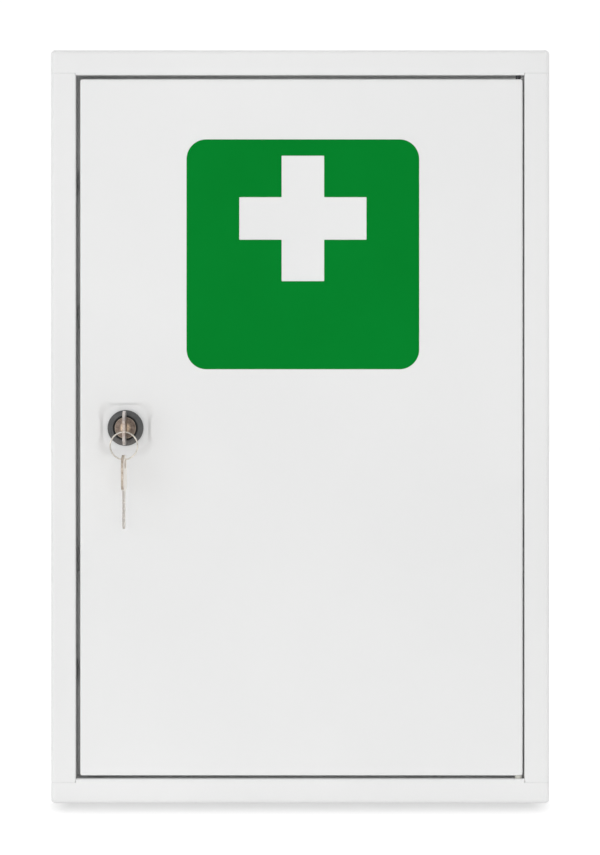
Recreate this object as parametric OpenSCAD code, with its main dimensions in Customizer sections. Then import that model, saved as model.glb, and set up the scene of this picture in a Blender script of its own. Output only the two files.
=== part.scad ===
// Lockable medicine cabinet: a folded steel box for the wall with one flush door.
// Millimetres. X to the right, Y from the front to the wall, Z up.
// The origin is the centre of the four wall holes, on the back plane.

/* [Cabinet] */
// Width over the side walls
cab_w = 304.5; // [290:0.5:330]
// Height over the top and base
cab_h = 460; // [430:1:500]
// Depth from the door's face to the wall
cab_d = 140; // [130:1:180]
// Thickness of the cabinet's sheet steel
sheet = 1.0; // [0.8:0.1:1.2]
// Thickness of the back panel
back_t = 1.0; // [0.8:0.1:1.2]
// Outer radius of the box's front and corner bends
bend_r = 2.5; // [2:0.1:3.5]

/* [Face frame] */
// Width of the left and right stiles
stile_w = 15.3; // [14:0.1:18]
// Height of the top rail
top_rail = 15.4; // [14:0.1:18]
// Height of the bottom rail
bottom_rail = 15.1; // [14:0.1:18]
// Depth of the lips that turn in round the opening
lip_d = 23.3; // [23.3:0.1:24]
// Height of the bottom rail below the ends of the stiles
bottom_seam = 2.4; // [1.8:0.1:3]

/* [Door] */
// Thickness of the door's sheet steel
door_t = 0.8; // [0.7:0.1:0.9]
// Depth of the folded door pan
door_d = 18; // [17:0.5:19]
// Outer radius of the door's bends
door_r = 1.2; // [1:0.1:1.3]
// Width of the hem inside the pan
hem_w = 8; // [6:0.5:10]
// Gap beside the door at the lock side
gap_left = 2.6; // [2.2:0.1:3]
// Gap beside the door at the hinge side
gap_right = 1.1; // [1:0.05:1.4]
// Gap above the door
gap_top = 2.4; // [1.8:0.1:3]
// Gap below the door, filled by the hinge washer at the pivot
gap_bottom = 1.9; // [1.6:0.1:2.4]

/* [Hinge] */
// Distance from the pivot to the door's right edge
pivot_in = 2.6; // [2.5:0.05:2.7]
// Distance from the pivot to the door's face
pivot_back = 2.8; // [2.75:0.05:2.85]
// Diameter of the pivot pins
pin_d = 3.0; // [2.8:0.05:3.0]
// Diameter of the hinge washer
hinge_washer_d = 4.2; // [4:0.1:4.4]

/* [Lock] */
// Centre of the lock from the cabinet's middle, to the left
lock_left = 106.6; // [104:0.1:108]
// Height of the lock above the cabinet's middle
lock_z = -0.8; // [-20:0.1:20]
// Diameter of the bezel
bezel_d = 21.8; // [21:0.1:23]
// Side of the square pressed recess round the lock
recess_w = 28.8; // [28:0.1:31]
// Depth of that recess
recess_d = 1.4; // [0.6:0.1:1.8]
// Length of the cam from the lock's axis to its tip
cam_len = 36; // [35:0.5:38]

/* [Keys] */
// Thickness of a key
key_t = 1.5; // [1.4:0.05:1.7]
// Height of a key's bow
bow_h = 20.6; // [19:0.1:22]
// Length of a key's bow
bow_len = 21.5; // [20:0.1:22]
// Length of a key's blade
blade_len = 23.1; // [22:0.1:23.1]
// Inner radius of the split ring
ring_ri = 7.85; // [7.5:0.05:8]
// How far the spare key is turned as it hangs, in degrees
spare_yaw = -3; // [-4:1:4]

/* [Label] */
// Width of the green label
label_w = 142; // [120:1:160]
// Height of the green label
label_h = 140.3; // [120:0.1:160]
// Corner radius of the label
label_r = 12; // [8:0.5:16]
// Centre of the label from the cabinet's middle, to the right
label_x = 1.7; // [-5:0.1:5]
// Centre of the label above the cabinet's middle
label_z = 105.2; // [95:0.1:110]
// Length of the cross's arms over both ends
cross_w = 77.7; // [60:0.1:80]
// Height of the cross
cross_h = 76.6; // [60:0.1:80]
// Width of an arm of the cross
cross_arm = 26; // [20:0.5:30]
// Centre of the cross above the centre of the label
cross_up = 21.9; // [18:0.1:24]

/* [Inside] */
// Height of the upper shelf's top face
upper_shelf_z = 75; // [60:1:90]
// Height of the lower shelf's top face
lower_shelf_z = -75; // [-90:1:-60]
// Distance from the cabinet's front to the shelves' front
shelf_back = 27; // [27:1:35]
// Height of a shelf's front flange
shelf_lip = 14; // [10:1:18]

/* [Wall holes] */
// Spacing of the wall holes across
hole_dx = 220; // [200:5:240]
// Spacing of the wall holes up and down
hole_dz = 380; // [340:5:400]
// Diameter of the wall holes
hole_d = 7; // [5:0.5:8]

/* [Hidden] */
$fn = 64;

paint = [0.93, 0.93, 0.92];
zinc = [0.72, 0.73, 0.74];
nickel = [0.74, 0.71, 0.66];

// Box, face frame and door outline
xo = cab_w / 2;
zt = cab_h / 2;
yf = -cab_d;
ox = xo - stile_w;                 // opening, half width
oz1 = zt - top_rail;               // opening, top
oz0 = -zt + bottom_rail;           // opening, bottom
lip_r = sheet + 0.2;               // outer radius of the lips' bends
rear_r = sheet + 0.5;              // outer radius of the rear bends
top_h = top_rail - lip_r;          // height of the top cap, down to the stiles' ends
bottom_h = bottom_rail - bottom_seam;
lip_end = yf + lip_d;
rear_flange = 14;
tongue = 11;                       // how far the sides' joggled tongues reach into the caps

dx0 = -ox + gap_left;
dx1 = ox - gap_right;
dz0 = oz0 + gap_bottom;
dz1 = oz1 - gap_top;
yd = yf + door_d;                  // back of the door pan

// Hinge
px = dx1 - pivot_in;
py = yf + pivot_back;
pin_r = pin_d / 2;
pin_bore = pin_r + 0.05;
plate_t = 2;                       // pivot plates inside the pan

// Lock: depths run from the bezel's front face into the cabinet
lock_x = -lock_left;
bezel_h = recess_d + 2.4;
bezel_y = yf + recess_d - bezel_h; // bezel's front face
barrel_r = 9;                      // threaded barrel
flat_x = 8;                        // the barrel's two flats
bore_r = 6.05;
plug_r = 6.0;
head_r = 6.5;
housing_end = 25.0;
plug_end = housing_end + 0.2;
washer_end = plug_end + 1.0;
cam_end = washer_end + 2.0;
way_end = 22.3;                    // bottom of the keyway
wafer_z = [for (i = [0:4]) 4.4 + 3.1 * i];
ear = 14.5;                        // half angle of the stop washer's ear

// Keys: positions run from the bow's shoulder towards the tip
shoulder_y = bezel_y + way_end - 0.4 - blade_len;
bow_hole_r = 3.2;
bow_hole = bow_len - 2.0 - bow_hole_r;
ring_t = 0.9;                      // wire of the split ring, across
ring_h = 1.8;                      // its two turns, side by side
hang_y = shoulder_y - bow_hole;    // plane of the ring
hole_edge = sqrt(bow_hole_r * bow_hole_r - ring_h * ring_h / 4);
hang = hole_edge - 0.08 + sqrt(ring_ri * ring_ri - key_t * key_t / 4);

// ---- helpers ----

// A flat outline extruded along X, Y or Z. In the first, the outline's x is Y and its y is Z.
module along_x(a, b) { translate([a, 0, 0]) rotate([90, 0, 90]) linear_extrude(b - a) children(); }
module along_y(a, b) { translate([0, b, 0]) rotate([90, 0, 0]) linear_extrude(b - a) children(); }
module along_z(a, b) { translate([0, 0, a]) linear_extrude(b - a) children(); }

// What a rounded corner takes off a rectangle. sx and sy point into the rectangle.
module corner_cut(x, y, sx, sy, r) {
  if (r > 0) difference() {
    translate([x + (sx > 0 ? -1 : -r), y + (sy > 0 ? -1 : -r)]) square(r + 1);
    translate([x + sx * r, y + sy * r]) circle(r);
  }
}

// Rectangle with a radius for each corner, counter-clockwise from the lower left
module round_rect(x0, y0, x1, y1, r) {
  difference() {
    translate([x0, y0]) square([x1 - x0, y1 - y0]);
    corner_cut(x0, y0, 1, 1, r[0]);
    corner_cut(x1, y0, -1, 1, r[1]);
    corner_cut(x1, y1, -1, -1, r[2]);
    corner_cut(x0, y1, 1, -1, r[3]);
  }
}

// A sheet's quarter bend of outer radius ro about (cx, cy), on the side that qx and qy point to
module bend(cx, cy, ro, t, qx, qy) {
  intersection() {
    difference() {
      translate([cx, cy]) circle(ro);
      translate([cx, cy]) circle(ro - t);
    }
    translate([cx + (qx < 0 ? -ro - 1 : 0), cy + (qy < 0 ? -ro - 1 : 0)]) square(ro + 1);
  }
}

// Block with rounded front, top and rear edges, for the inside and outside of a cap
module cap_block(hx, y0, y1, z0, z1, r, rr) {
  intersection() {
    along_z(z0, z1) round_rect(-hx, y0, hx, y1, [r, r, rr, rr]);
    along_y(y0 - 1, y1 + 1) round_rect(-hx, z0, hx, z1, [0, 0, r, r]);
    along_x(-hx - 1, hx + 1) round_rect(y0, z0, y1, z1, [0, 0, rr, r]);
  }
}

// Places a shape that is drawn with its axis on Z and its front at 0 on the lock's axis
module at_lock() { translate([lock_x, bezel_y, lock_z]) rotate([-90, 0, 0]) children(); }

module ring(ri, ro, a, b) {
  translate([0, 0, a]) difference() {
    cylinder(r = ro, h = b - a);
    translate([0, 0, -1]) cylinder(r = ri, h = b - a + 2);
  }
}

// The plug's square tail, and with some clearance the holes that fit it
module tail_2d(c = 0) {
  intersection() {
    square(7 + 2 * c, center = true);
    circle(4.6 + c);
  }
}

// ---- cabinet ----

// Section of the right side: wall, stile, lip and rear flange
module side_section() {
  translate([xo - sheet, yf + bend_r]) square([sheet, cab_d - bend_r - back_t - rear_r]);
  bend(xo - bend_r, yf + bend_r, bend_r, sheet, 1, -1);
  translate([ox + lip_r, yf]) square([stile_w - lip_r - bend_r, sheet]);
  bend(ox + lip_r, yf + lip_r, lip_r, sheet, -1, -1);
  translate([ox, yf + lip_r]) square([sheet, lip_d - lip_r]);
  bend(xo - rear_r, -back_t - rear_r, rear_r, sheet, 1, 1);
  translate([xo - rear_flange, -back_t - sheet]) square([rear_flange - rear_r, sheet]);
}

// Right side with the tongues that lie inside the caps and are welded there
module side() {
  along_z(-zt + bottom_h, zt - top_h) side_section();
  for (end = [[zt - top_h - 9, zt - top_h + tongue], [-zt + bottom_h - tongue + 1, -zt + bottom_h + 9]]) {
    translate([xo - 2 * sheet, yf + 5, end[0]]) cube([sheet, cab_d - 10, end[1] - end[0]]);
    translate([ox + 3, yf + sheet, end[0]]) cube([stile_w - 7, sheet, end[1] - end[0]]);
  }
}

module right_side_panel() { color(paint) side(); }

// The left side also has two ears, bent in from the end of the lip, that stop the door
ear_x = -ox + 5.45;
module left_side_panel() {
  color(paint) {
    mirror([1, 0, 0]) side();
    for (z = [-150, 150]) difference() {
      translate([-ox - sheet / 2, lip_end - sheet, z - 7]) cube([sheet / 2 + 10, sheet, 14]);
      translate([ear_x, lip_end - 5, z]) rotate([-90, 0, 0]) cylinder(r = 2, h = 10);
    }
  }
}

// A cap: top wall, skirts, rail and rear wall in one tray, with the rail's lip along the opening
module cap(rail, h) {
  difference() {
    union() {
      difference() {
        cap_block(xo, yf, -back_t, zt - h, zt, bend_r, rear_r);
        cap_block(xo - sheet, yf + sheet, -back_t - sheet, zt - h - 1, zt - sheet,
                  bend_r - sheet, rear_r - sheet);
      }
      if (rail - lip_r > h)
        translate([-ox, yf, zt - rail + lip_r]) cube([2 * ox, sheet, rail - lip_r - h + 0.5]);
      along_x(-ox, ox) {
        bend(yf + lip_r, zt - rail + lip_r, lip_r, sheet, -1, -1);
        translate([yf + lip_r, zt - rail]) square([lip_d - lip_r, sheet]);
      }
    }
    translate([px, py, zt - rail - 1]) cylinder(r = pin_bore, h = sheet + 2);
  }
}

module top_panel() { color(paint) cap(top_rail, top_h); }

module bottom_panel() { color(paint) mirror([0, 0, 1]) cap(bottom_rail, bottom_h); }

module back_panel() {
  color(paint) difference() {
    translate([-xo + 2.25, -back_t, -zt + 2]) cube([cab_w - 4.5, back_t, cab_h - 4]);
    for (x = [-1, 1], z = [-1, 1])
      translate([x * hole_dx / 2, -back_t - 1, z * hole_dz / 2])
        rotate([-90, 0, 0]) cylinder(d = hole_d, h = back_t + 2);
  }
}

// Shelf with a hemmed front flange and a rear flange
module shelf(z) {
  r = sheet + 0.5;
  y0 = yf + shelf_back;
  y1 = -back_t - sheet - 1;
  color(paint) along_x(-xo + sheet + 0.5, xo - sheet - 0.5) {
    translate([y0 + r, z - sheet]) square([y1 - y0 - 2 * r, sheet]);
    bend(y0 + r, z - r, r, sheet, -1, 1);
    translate([y0, z - shelf_lip + r]) square([sheet, shelf_lip - 2 * r]);
    bend(y0 + r, z - shelf_lip + r, r, sheet, -1, -1);
    translate([y0 + r, z - shelf_lip]) square([5.5, sheet]);
    bend(y1 - r, z - r, r, sheet, 1, 1);
    translate([y1 - sheet, z - 10]) square([sheet, 10 - r]);
  }
}

module upper_shelf() { shelf(upper_shelf_z); }
module lower_shelf() { shelf(lower_shelf_z); }

// Angle welded to a side wall under a shelf
module bracket(side, z) {
  r = sheet + 0.5;
  x1 = xo - sheet;
  top = z - sheet;
  color(paint) mirror([side < 0 ? 1 : 0, 0, 0]) along_y(yf + 40, -12) {
    translate([x1 - sheet, top - 13]) square([sheet, 13 - r]);
    bend(x1 - r, top - r, r, sheet, 1, 1);
    translate([x1 - 12, top - sheet]) square([12 - r, sheet]);
  }
}

module upper_left_shelf_bracket() { bracket(-1, upper_shelf_z); }
module upper_right_shelf_bracket() { bracket(1, upper_shelf_z); }
module lower_left_shelf_bracket() { bracket(-1, lower_shelf_z); }
module lower_right_shelf_bracket() { bracket(1, lower_shelf_z); }

// Pivot pin with its head at 0 and its tip up. The head is cut flat where it lies against the rail.
module pivot_pin(len) {
  difference() {
    union() {
      cylinder(r = 3, h = 1.5);
      translate([0, 0, 1]) cylinder(r = pin_r, h = len - 1.4);
      translate([0, 0, len - 0.4]) cylinder(r1 = pin_r, r2 = pin_r - 0.4, h = 0.4);
    }
    translate([-5, -pivot_back + sheet - 5 + 0.25, -1]) cube([10, 5, 2.5]);
  }
}

module upper_pivot_pin() {
  color(zinc) translate([px, py, oz1 + sheet + 1.5]) mirror([0, 0, 1]) pivot_pin(9.8);
}

module lower_pivot_pin() {
  color(zinc) translate([px, py, oz0 - sheet - 1.5]) pivot_pin(9.3);
}

module hinge_washer() {
  color("white") translate([px, py, oz0]) ring(pin_bore, hinge_washer_d / 2, 0, gap_bottom);
}

// Rubber buffer pushed into an ear's hole, with a bead behind it
module buffer(z) {
  stand = lip_end - sheet - yd - 0.1;
  color([0.15, 0.15, 0.16]) translate([ear_x, lip_end - sheet - stand, z]) rotate([-90, 0, 0]) {
    cylinder(r = 3.4, h = 0.6);
    translate([0, 0, 0.6]) cylinder(r = 4, h = stand - 0.6);
    cylinder(r = 1.95, h = stand + sheet + 1);
    translate([0, 0, stand + sheet]) cylinder(r1 = 2.7, r2 = 1.6, h = 1.5);
  }
}

module upper_door_buffer() { buffer(150); }
module lower_door_buffer() { buffer(-150); }

// ---- door ----

// Pan with rounded front edges and a hem, and a pressed recess round the lock
module door_panel() {
  in = door_t;
  color(paint) difference() {
    union() {
      difference() {
        intersection() {
          along_z(dz0, dz1) round_rect(dx0, yf, dx1, yd, [door_r, door_r, 0, 0]);
          along_x(dx0, dx1) round_rect(yf, dz0, yd, dz1, [door_r, 0, 0, door_r]);
        }
        translate([dx0 + in, yf + in, dz0 + in])
          cube([dx1 - dx0 - 2 * in, door_d - 2 * in, dz1 - dz0 - 2 * in]);
        translate([dx0 + hem_w, yd - 2, dz0 + hem_w])
          cube([dx1 - dx0 - 2 * hem_w, 4, dz1 - dz0 - 2 * hem_w]);
      }
      along_y(yf + in / 2, yf + recess_d + in) translate([lock_x, lock_z]) square(recess_w + 2 * in, center = true);
    }
    along_y(yf - 1, yf + recess_d)
      round_rect(lock_x - recess_w / 2, lock_z - recess_w / 2,
                 lock_x + recess_w / 2, lock_z + recess_w / 2, [7, 7, 7, 7]);
    at_lock() intersection() {
      cylinder(r = barrel_r + 0.1, h = 20);
      translate([-flat_x - 0.1, -15, 0]) cube([2 * flat_x + 0.2, 30, 20]);
    }
    translate([px, py, dz0 - 1]) cylinder(r = pin_bore, h = 3);
    translate([px, py, dz1 - 2]) cylinder(r = pin_bore, h = 3);
  }
}

// Green label with the cross cut out of it, so that the door's paint shows
module sign_label() {
  cz = label_z + cross_up;
  color([0.01, 0.51, 0.18]) along_y(yf - 0.2, yf) difference() {
    round_rect(label_x - label_w / 2, label_z - label_h / 2, label_x + label_w / 2, label_z + label_h / 2,
               [label_r, label_r, label_r, label_r]);
    translate([label_x, cz]) square([cross_w, cross_arm], center = true);
    translate([label_x, cz]) square([cross_arm, cross_h], center = true);
  }
}

module pivot_plate(z) {
  color(zinc) difference() {
    translate([px - 14, yf + door_t, z]) cube([dx1 - door_t - px + 14, 15, plate_t]);
    translate([px, py, z - 1]) cylinder(r = pin_bore, h = plate_t + 2);
  }
}

module upper_pivot_plate() { pivot_plate(dz1 - door_t - plate_t); }
module lower_pivot_plate() { pivot_plate(dz0 + door_t); }

// ---- lock ----

// Housing: bevelled bezel, barrel with two flats, bore, wafer grooves and the stop ring behind
module lock_housing() {
  color([0.16, 0.16, 0.17]) at_lock() difference() {
    union() {
      rotate_extrude() polygon([[0, 0], [9.5, 0], [bezel_d / 2 - 0.25, 1.15], [bezel_d / 2, 1.5],
                                [bezel_d / 2, bezel_h], [0, bezel_h]]);
      intersection() {
        union() {
          translate([0, 0, bezel_h - 0.5]) cylinder(r = barrel_r, h = housing_end - bezel_h + 0.5);
          cylinder(r = 8.9, h = housing_end + 1);
        }
        translate([-flat_x, -12, 0]) cube([2 * flat_x, 24, 30]);
      }
    }
    translate([0, 0, -1]) cylinder(r = bore_r, h = 40);
    translate([0, 0, -1]) cylinder(r = 7.3, h = 2.7);
    translate([-3.3, -7.7, wafer_z[0] - 0.8]) cube([6.6, 15.4, wafer_z[4] - wafer_z[0] + 1.6]);
    translate([0, 0, housing_end]) cylinder(r = 6.8, h = 3);
    translate([0, 0, housing_end]) linear_extrude(3)
      polygon([[0, 0], for (a = [-105.5:12.1:15.6]) [20 * cos(a), 20 * sin(a)]]);
  }
}

// Toothed washer between the pressed recess and the nut
module lock_washer() {
  a = bezel_h + door_t;
  color(zinc) at_lock() difference() {
    ring(9.1, 11.6, a, a + 0.8);
    for (i = [0:15]) rotate([0, 0, 22.5 * i]) translate([10.5, -0.7, a - 1]) cube([3, 1.4, 3]);
  }
}

module lock_nut() {
  a = bezel_h + door_t + 0.8;
  color(zinc) at_lock() difference() {
    translate([0, 0, a]) cylinder(r = 13.28, h = 4, $fn = 6);
    translate([0, 0, a - 1]) cylinder(r = barrel_r + 0.05, h = 6);
  }
}

// Plug: head, barrel with keyway and wafer slots, square tail with a screw hole
module lock_plug() {
  color(nickel) at_lock() difference() {
    union() {
      translate([0, 0, 0.3]) cylinder(r = head_r, h = 1.35);
      translate([0, 0, 1]) cylinder(r = plug_r, h = plug_end - 1);
      linear_extrude(cam_end) tail_2d();
    }
    translate([-5, -5, -1]) cube([10, 10, 1.3]);
    translate([-0.9, -3.75, -1]) cube([1.8, 7.5, way_end + 1]);
    for (z = wafer_z) {
      translate([-3.2, -7, z - 0.55]) cube([5.05, 14, 1.1]);
      translate([1.8, -7, z - 0.55]) cube([1.4, 12, 1.1]);
    }
    translate([0, 0, way_end + 1]) cylinder(r = 2, h = 10);
  }
}

// Wafer tumblers, each with a window for the blade and a notch for its spring
module wafers() {
  color([0.80, 0.66, 0.32]) at_lock() for (z = wafer_z) difference() {
    translate([-3.1, -5, z - 0.45]) cube([6.2, 10, 0.9]);
    translate([-1, -3.8, z - 1]) cube([2, 7.6, 2]);
    translate([1.9, 0.6, z - 1]) cube([3, 6, 2]);
  }
}

// Square-section coil swept round the Y axis from a to b, through points that follow the helix
module coil(r, w, a, b, turns, per) {
  n = turns * per;
  pts = [for (i = [0:n], k = [0:3])
    let (t = 360 * i / per, y = a + (b - a) * i / n,
         dr = k == 0 || k == 3 ? -w : w, dy = k < 2 ? -w : w)
    [(r + dr) * cos(t), y + dy, (r + dr) * sin(t)]];
  polyhedron(pts, concat(
    [[0, 1, 2], [0, 2, 3]],
    [for (i = [0:n - 1], k = [0:3]) [4 * i + k, 4 * i + 4 + k, 4 * i + 4 + (k + 1) % 4]],
    [for (i = [0:n - 1], k = [0:3]) [4 * i + k, 4 * i + 4 + (k + 1) % 4, 4 * i + (k + 1) % 4]],
    [[4 * n + 3, 4 * n + 2, 4 * n + 1], [4 * n + 3, 4 * n + 1, 4 * n]]));
}

module wafer_springs() {
  color(zinc) at_lock() for (z = wafer_z)
    translate([2.5, 0, z]) coil(0.34, 0.1, 0.75, 4.85, 5, 8);
}

// Washer on the square tail, whose ear meets the ends of the housing's stop ring
module stop_washer() {
  color(zinc) at_lock() translate([0, 0, plug_end]) difference() {
    linear_extrude(1) {
      circle(6.5);
      intersection() {
        circle(8.5);
        polygon([[0, 0], for (a = [-90 - ear:ear:-90 + ear]) [12 * cos(a), 12 * sin(a)]]);
      }
    }
    translate([0, 0, -1]) linear_extrude(3) tail_2d(0.03);
  }
}

module lock_cam() {
  color(zinc) at_lock() translate([0, 0, washer_end]) linear_extrude(2) difference() {
    union() {
      circle(9.5);
      translate([-6, 0]) square([12, cam_len - 6]);
      translate([0, cam_len - 6]) circle(6);
    }
    tail_2d(0.03);
  }
}

module cam_washer() { color(zinc) at_lock() ring(2.1, 4.6, cam_end, cam_end + 0.8); }

module cam_screw() {
  color(zinc) at_lock() {
    translate([0, 0, cam_end + 0.8]) cylinder(r = 4.04, h = 2.8, $fn = 6);
    translate([0, 0, cam_end - 4]) cylinder(r = 1.95, h = 5);
  }
}

// ---- keys ----

// Outline of a key: the bow on negative x, the blade's tip on positive x
module key_outline() {
  difference() {
    union() {
      round_rect(-bow_len, -bow_h / 2, 0, bow_h / 2, [7.5, 5, 5, 7.5]);
      translate([-1, -3.5]) square([blade_len - 1.4, 7]);
      polygon([[blade_len - 2.5, -3.5], [blade_len, -1.2], [blade_len, 1.4], [blade_len - 2.5, 3.5]]);
    }
    translate([-bow_hole, 0]) circle(bow_hole_r);
    for (i = [0:4]) let (x = 5.5 + 3.1 * i, d = [0.8, 1.4, 0.6, 1.2, 0.9][i]) {
      polygon([[x - 0.5 - d, -3.6], [x - 0.5, -3.5 + d], [x + 0.5, -3.5 + d], [x + 0.5 + d, -3.6]]);
      polygon([[x - 0.5 - d, 3.6], [x - 0.5, 3.5 - 1.5 + d], [x + 0.5, 3.5 - 1.5 + d], [x + 0.5 + d, 3.6]]);
    }
  }
}

// Key in the upright plane, pointing along Y, with a milled groove along each side of the blade
module key_blank() {
  rotate([90, 0, 90]) difference() {
    translate([0, 0, -key_t / 2]) linear_extrude(key_t) key_outline();
    translate([1.5, -0.3, key_t / 2 - 0.3]) cube([blade_len, 1.3, 2]);
    translate([1.5, -1.5, -key_t / 2 - 2 + 0.3]) cube([blade_len, 1.3, 2]);
  }
}

module key() { color(nickel) translate([lock_x, shoulder_y, lock_z]) key_blank(); }

// Split ring, its two turns taken as one
module key_ring() {
  color(nickel) translate([lock_x, hang_y, lock_z - hang]) rotate([-90, 0, 0]) rotate_extrude()
    round_rect(ring_ri, -ring_h / 2, ring_ri + ring_t, ring_h / 2, [0.2, 0.2, 0.2, 0.2]);
}

// Spare key, hanging straight down from the ring
module spare_key() {
  color(nickel) translate([lock_x, hang_y, lock_z - 2 * hang]) rotate([0, 0, spare_yaw])
    rotate([-90, 0, 0]) translate([0, bow_hole, 0]) key_blank();
}

left_side_panel();
right_side_panel();
top_panel();
bottom_panel();
back_panel();
upper_shelf();
lower_shelf();
upper_left_shelf_bracket();
upper_right_shelf_bracket();
lower_left_shelf_bracket();
lower_right_shelf_bracket();
upper_pivot_pin();
lower_pivot_pin();
hinge_washer();
upper_door_buffer();
lower_door_buffer();
door_panel();
sign_label();
upper_pivot_plate();
lower_pivot_plate();
lock_housing();
lock_washer();
lock_nut();
lock_plug();
wafers();
wafer_springs();
stop_washer();
lock_cam();
cam_washer();
cam_screw();
key();
key_ring();
spare_key();
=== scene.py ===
import bmesh
import bpy
import math
import numpy as np
from mathutils import Matrix, Vector
from mathutils.geometry import delaunay_2d_cdt


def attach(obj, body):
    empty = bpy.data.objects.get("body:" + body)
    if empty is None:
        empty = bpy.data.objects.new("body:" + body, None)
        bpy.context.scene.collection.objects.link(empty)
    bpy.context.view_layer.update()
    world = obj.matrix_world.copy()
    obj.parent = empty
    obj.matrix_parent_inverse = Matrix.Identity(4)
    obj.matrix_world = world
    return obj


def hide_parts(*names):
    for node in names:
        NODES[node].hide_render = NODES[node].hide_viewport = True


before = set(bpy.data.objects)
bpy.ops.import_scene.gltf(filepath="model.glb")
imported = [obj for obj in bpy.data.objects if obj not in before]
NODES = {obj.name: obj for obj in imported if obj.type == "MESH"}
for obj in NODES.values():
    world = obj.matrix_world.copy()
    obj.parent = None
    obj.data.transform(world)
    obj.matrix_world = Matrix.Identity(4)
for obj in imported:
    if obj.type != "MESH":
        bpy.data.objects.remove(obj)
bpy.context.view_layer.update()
MM = 0.001

# ------------------------------------------------------------------ sizes, in millimetres

XO, ZT, YF = 152.25, 230.0, -140.0          # half width, half height, front of the box
SHEET, BEND, LIP_R, REAR_R = 1.0, 2.5, 1.2, 1.5
OX, LIP_END = 136.95, -116.7                # half width of the opening, rear end of the lips
TOP_RAIL, TOP_H = 15.4, 14.2
BOTTOM_RAIL, BOTTOM_H = 15.1, 12.7
EDGE = 0.22                                 # radius of a painted sheet's edge
DX0, DX1, DZ0, DZ1 = -134.35, 135.85, -213.0, 212.2
DOOR_T, DOOR_R, DOOR_BACK, HEM = 0.8, 1.2, -122.0, 8.0
PX, PY = 133.25, -137.2                     # door pivot
LX, LY, LZ = -106.6, -142.4, -0.8           # lock's axis and the bezel's front face


# ------------------------------------------------------------------ mesh tools

def unit(v):
    return v / np.linalg.norm(v)


def turned(v, a):
    c, s = math.cos(a), math.sin(a)
    return np.array([c * v[0] - s * v[1], s * v[0] + c * v[1]])


class Axes:
    """Places (u, v, s) along three directions from an origin."""

    def __init__(self, u, v, s, origin=(0, 0, 0)):
        self.m = np.array([u, v, s], float)
        self.o = np.array(origin, float)

    def n(self, u, v, s):
        q = np.stack(np.broadcast_arrays(*(np.asarray(x, float) for x in (u, v, s))), -1)
        return q.reshape(-1, 3) @ self.m

    def p(self, u, v, s):
        return self.n(u, v, s) + self.o


XYZ = Axes((1, 0, 0), (0, 1, 0), (0, 0, 1))
XZY = Axes((1, 0, 0), (0, 0, 1), (0, 1, 0))
YZX = Axes((0, 1, 0), (0, 0, 1), (1, 0, 0))
LOCK = Axes((1, 0, 0), (0, 0, -1), (0, 1, 0), (LX, LY, LZ))


def fillet(pts, radii, closed, seg=8):
    """Points along a path with rounded corners, and the normal on the right of each."""
    pts = [np.array(p, float) for p in pts]
    n, points, tangents = len(pts), [], []
    for i, p in enumerate(pts):
        if not closed and i in (0, n - 1):
            points.append(p)
            tangents.append(unit(pts[1] - pts[0]) if i == 0 else unit(pts[-1] - pts[-2]))
            continue
        d0, d1 = unit(p - pts[i - 1]), unit(pts[(i + 1) % n] - p)
        turn = math.atan2(d0[0] * d1[1] - d0[1] * d1[0], d0 @ d1)
        if abs(turn) < 1e-6:
            points.append(p)
            tangents.append(d0)
            continue
        start = p - d0 * radii[i] * math.tan(abs(turn) / 2)
        centre = start + math.copysign(radii[i], turn) * np.array([-d0[1], d0[0]])
        k = max(2, math.ceil(abs(turn) / (math.pi / 2) * seg))
        for j in range(k + 1):
            points.append(centre + turned(start - centre, turn * j / k))
            tangents.append(turned(d0, turn * j / k))
    points, tangents = np.array(points), np.array(tangents)
    return points, np.column_stack([tangents[:, 1], -tangents[:, 0]])


def circle(c, r, seg=64, start=0.0):
    a = start + 2 * math.pi * np.arange(seg) / seg
    n = np.column_stack([np.cos(a), np.sin(a)])
    return np.array(c, float) + r * n, n


def hole(c, r, seg=48):
    p, n = circle(c, r, seg)
    return p, -n


def subdivided(p, n, longest):
    """The same closed outline with its long stretches cut up."""
    out_p, out_n = [], []
    for i in range(len(p)):
        j = (i + 1) % len(p)
        k = max(1, math.ceil(np.linalg.norm(p[j] - p[i]) / longest))
        for q in range(k):
            out_p.append(p[i] + (p[j] - p[i]) * q / k)
            out_n.append(n[i] if q == 0 or np.allclose(n[i], n[j]) else unit(n[i] + n[j]))
    return np.array(out_p), np.array(out_n)


def quarter(m=3):
    return [math.pi / 2 * k / m for k in range(m + 1)]


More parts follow.
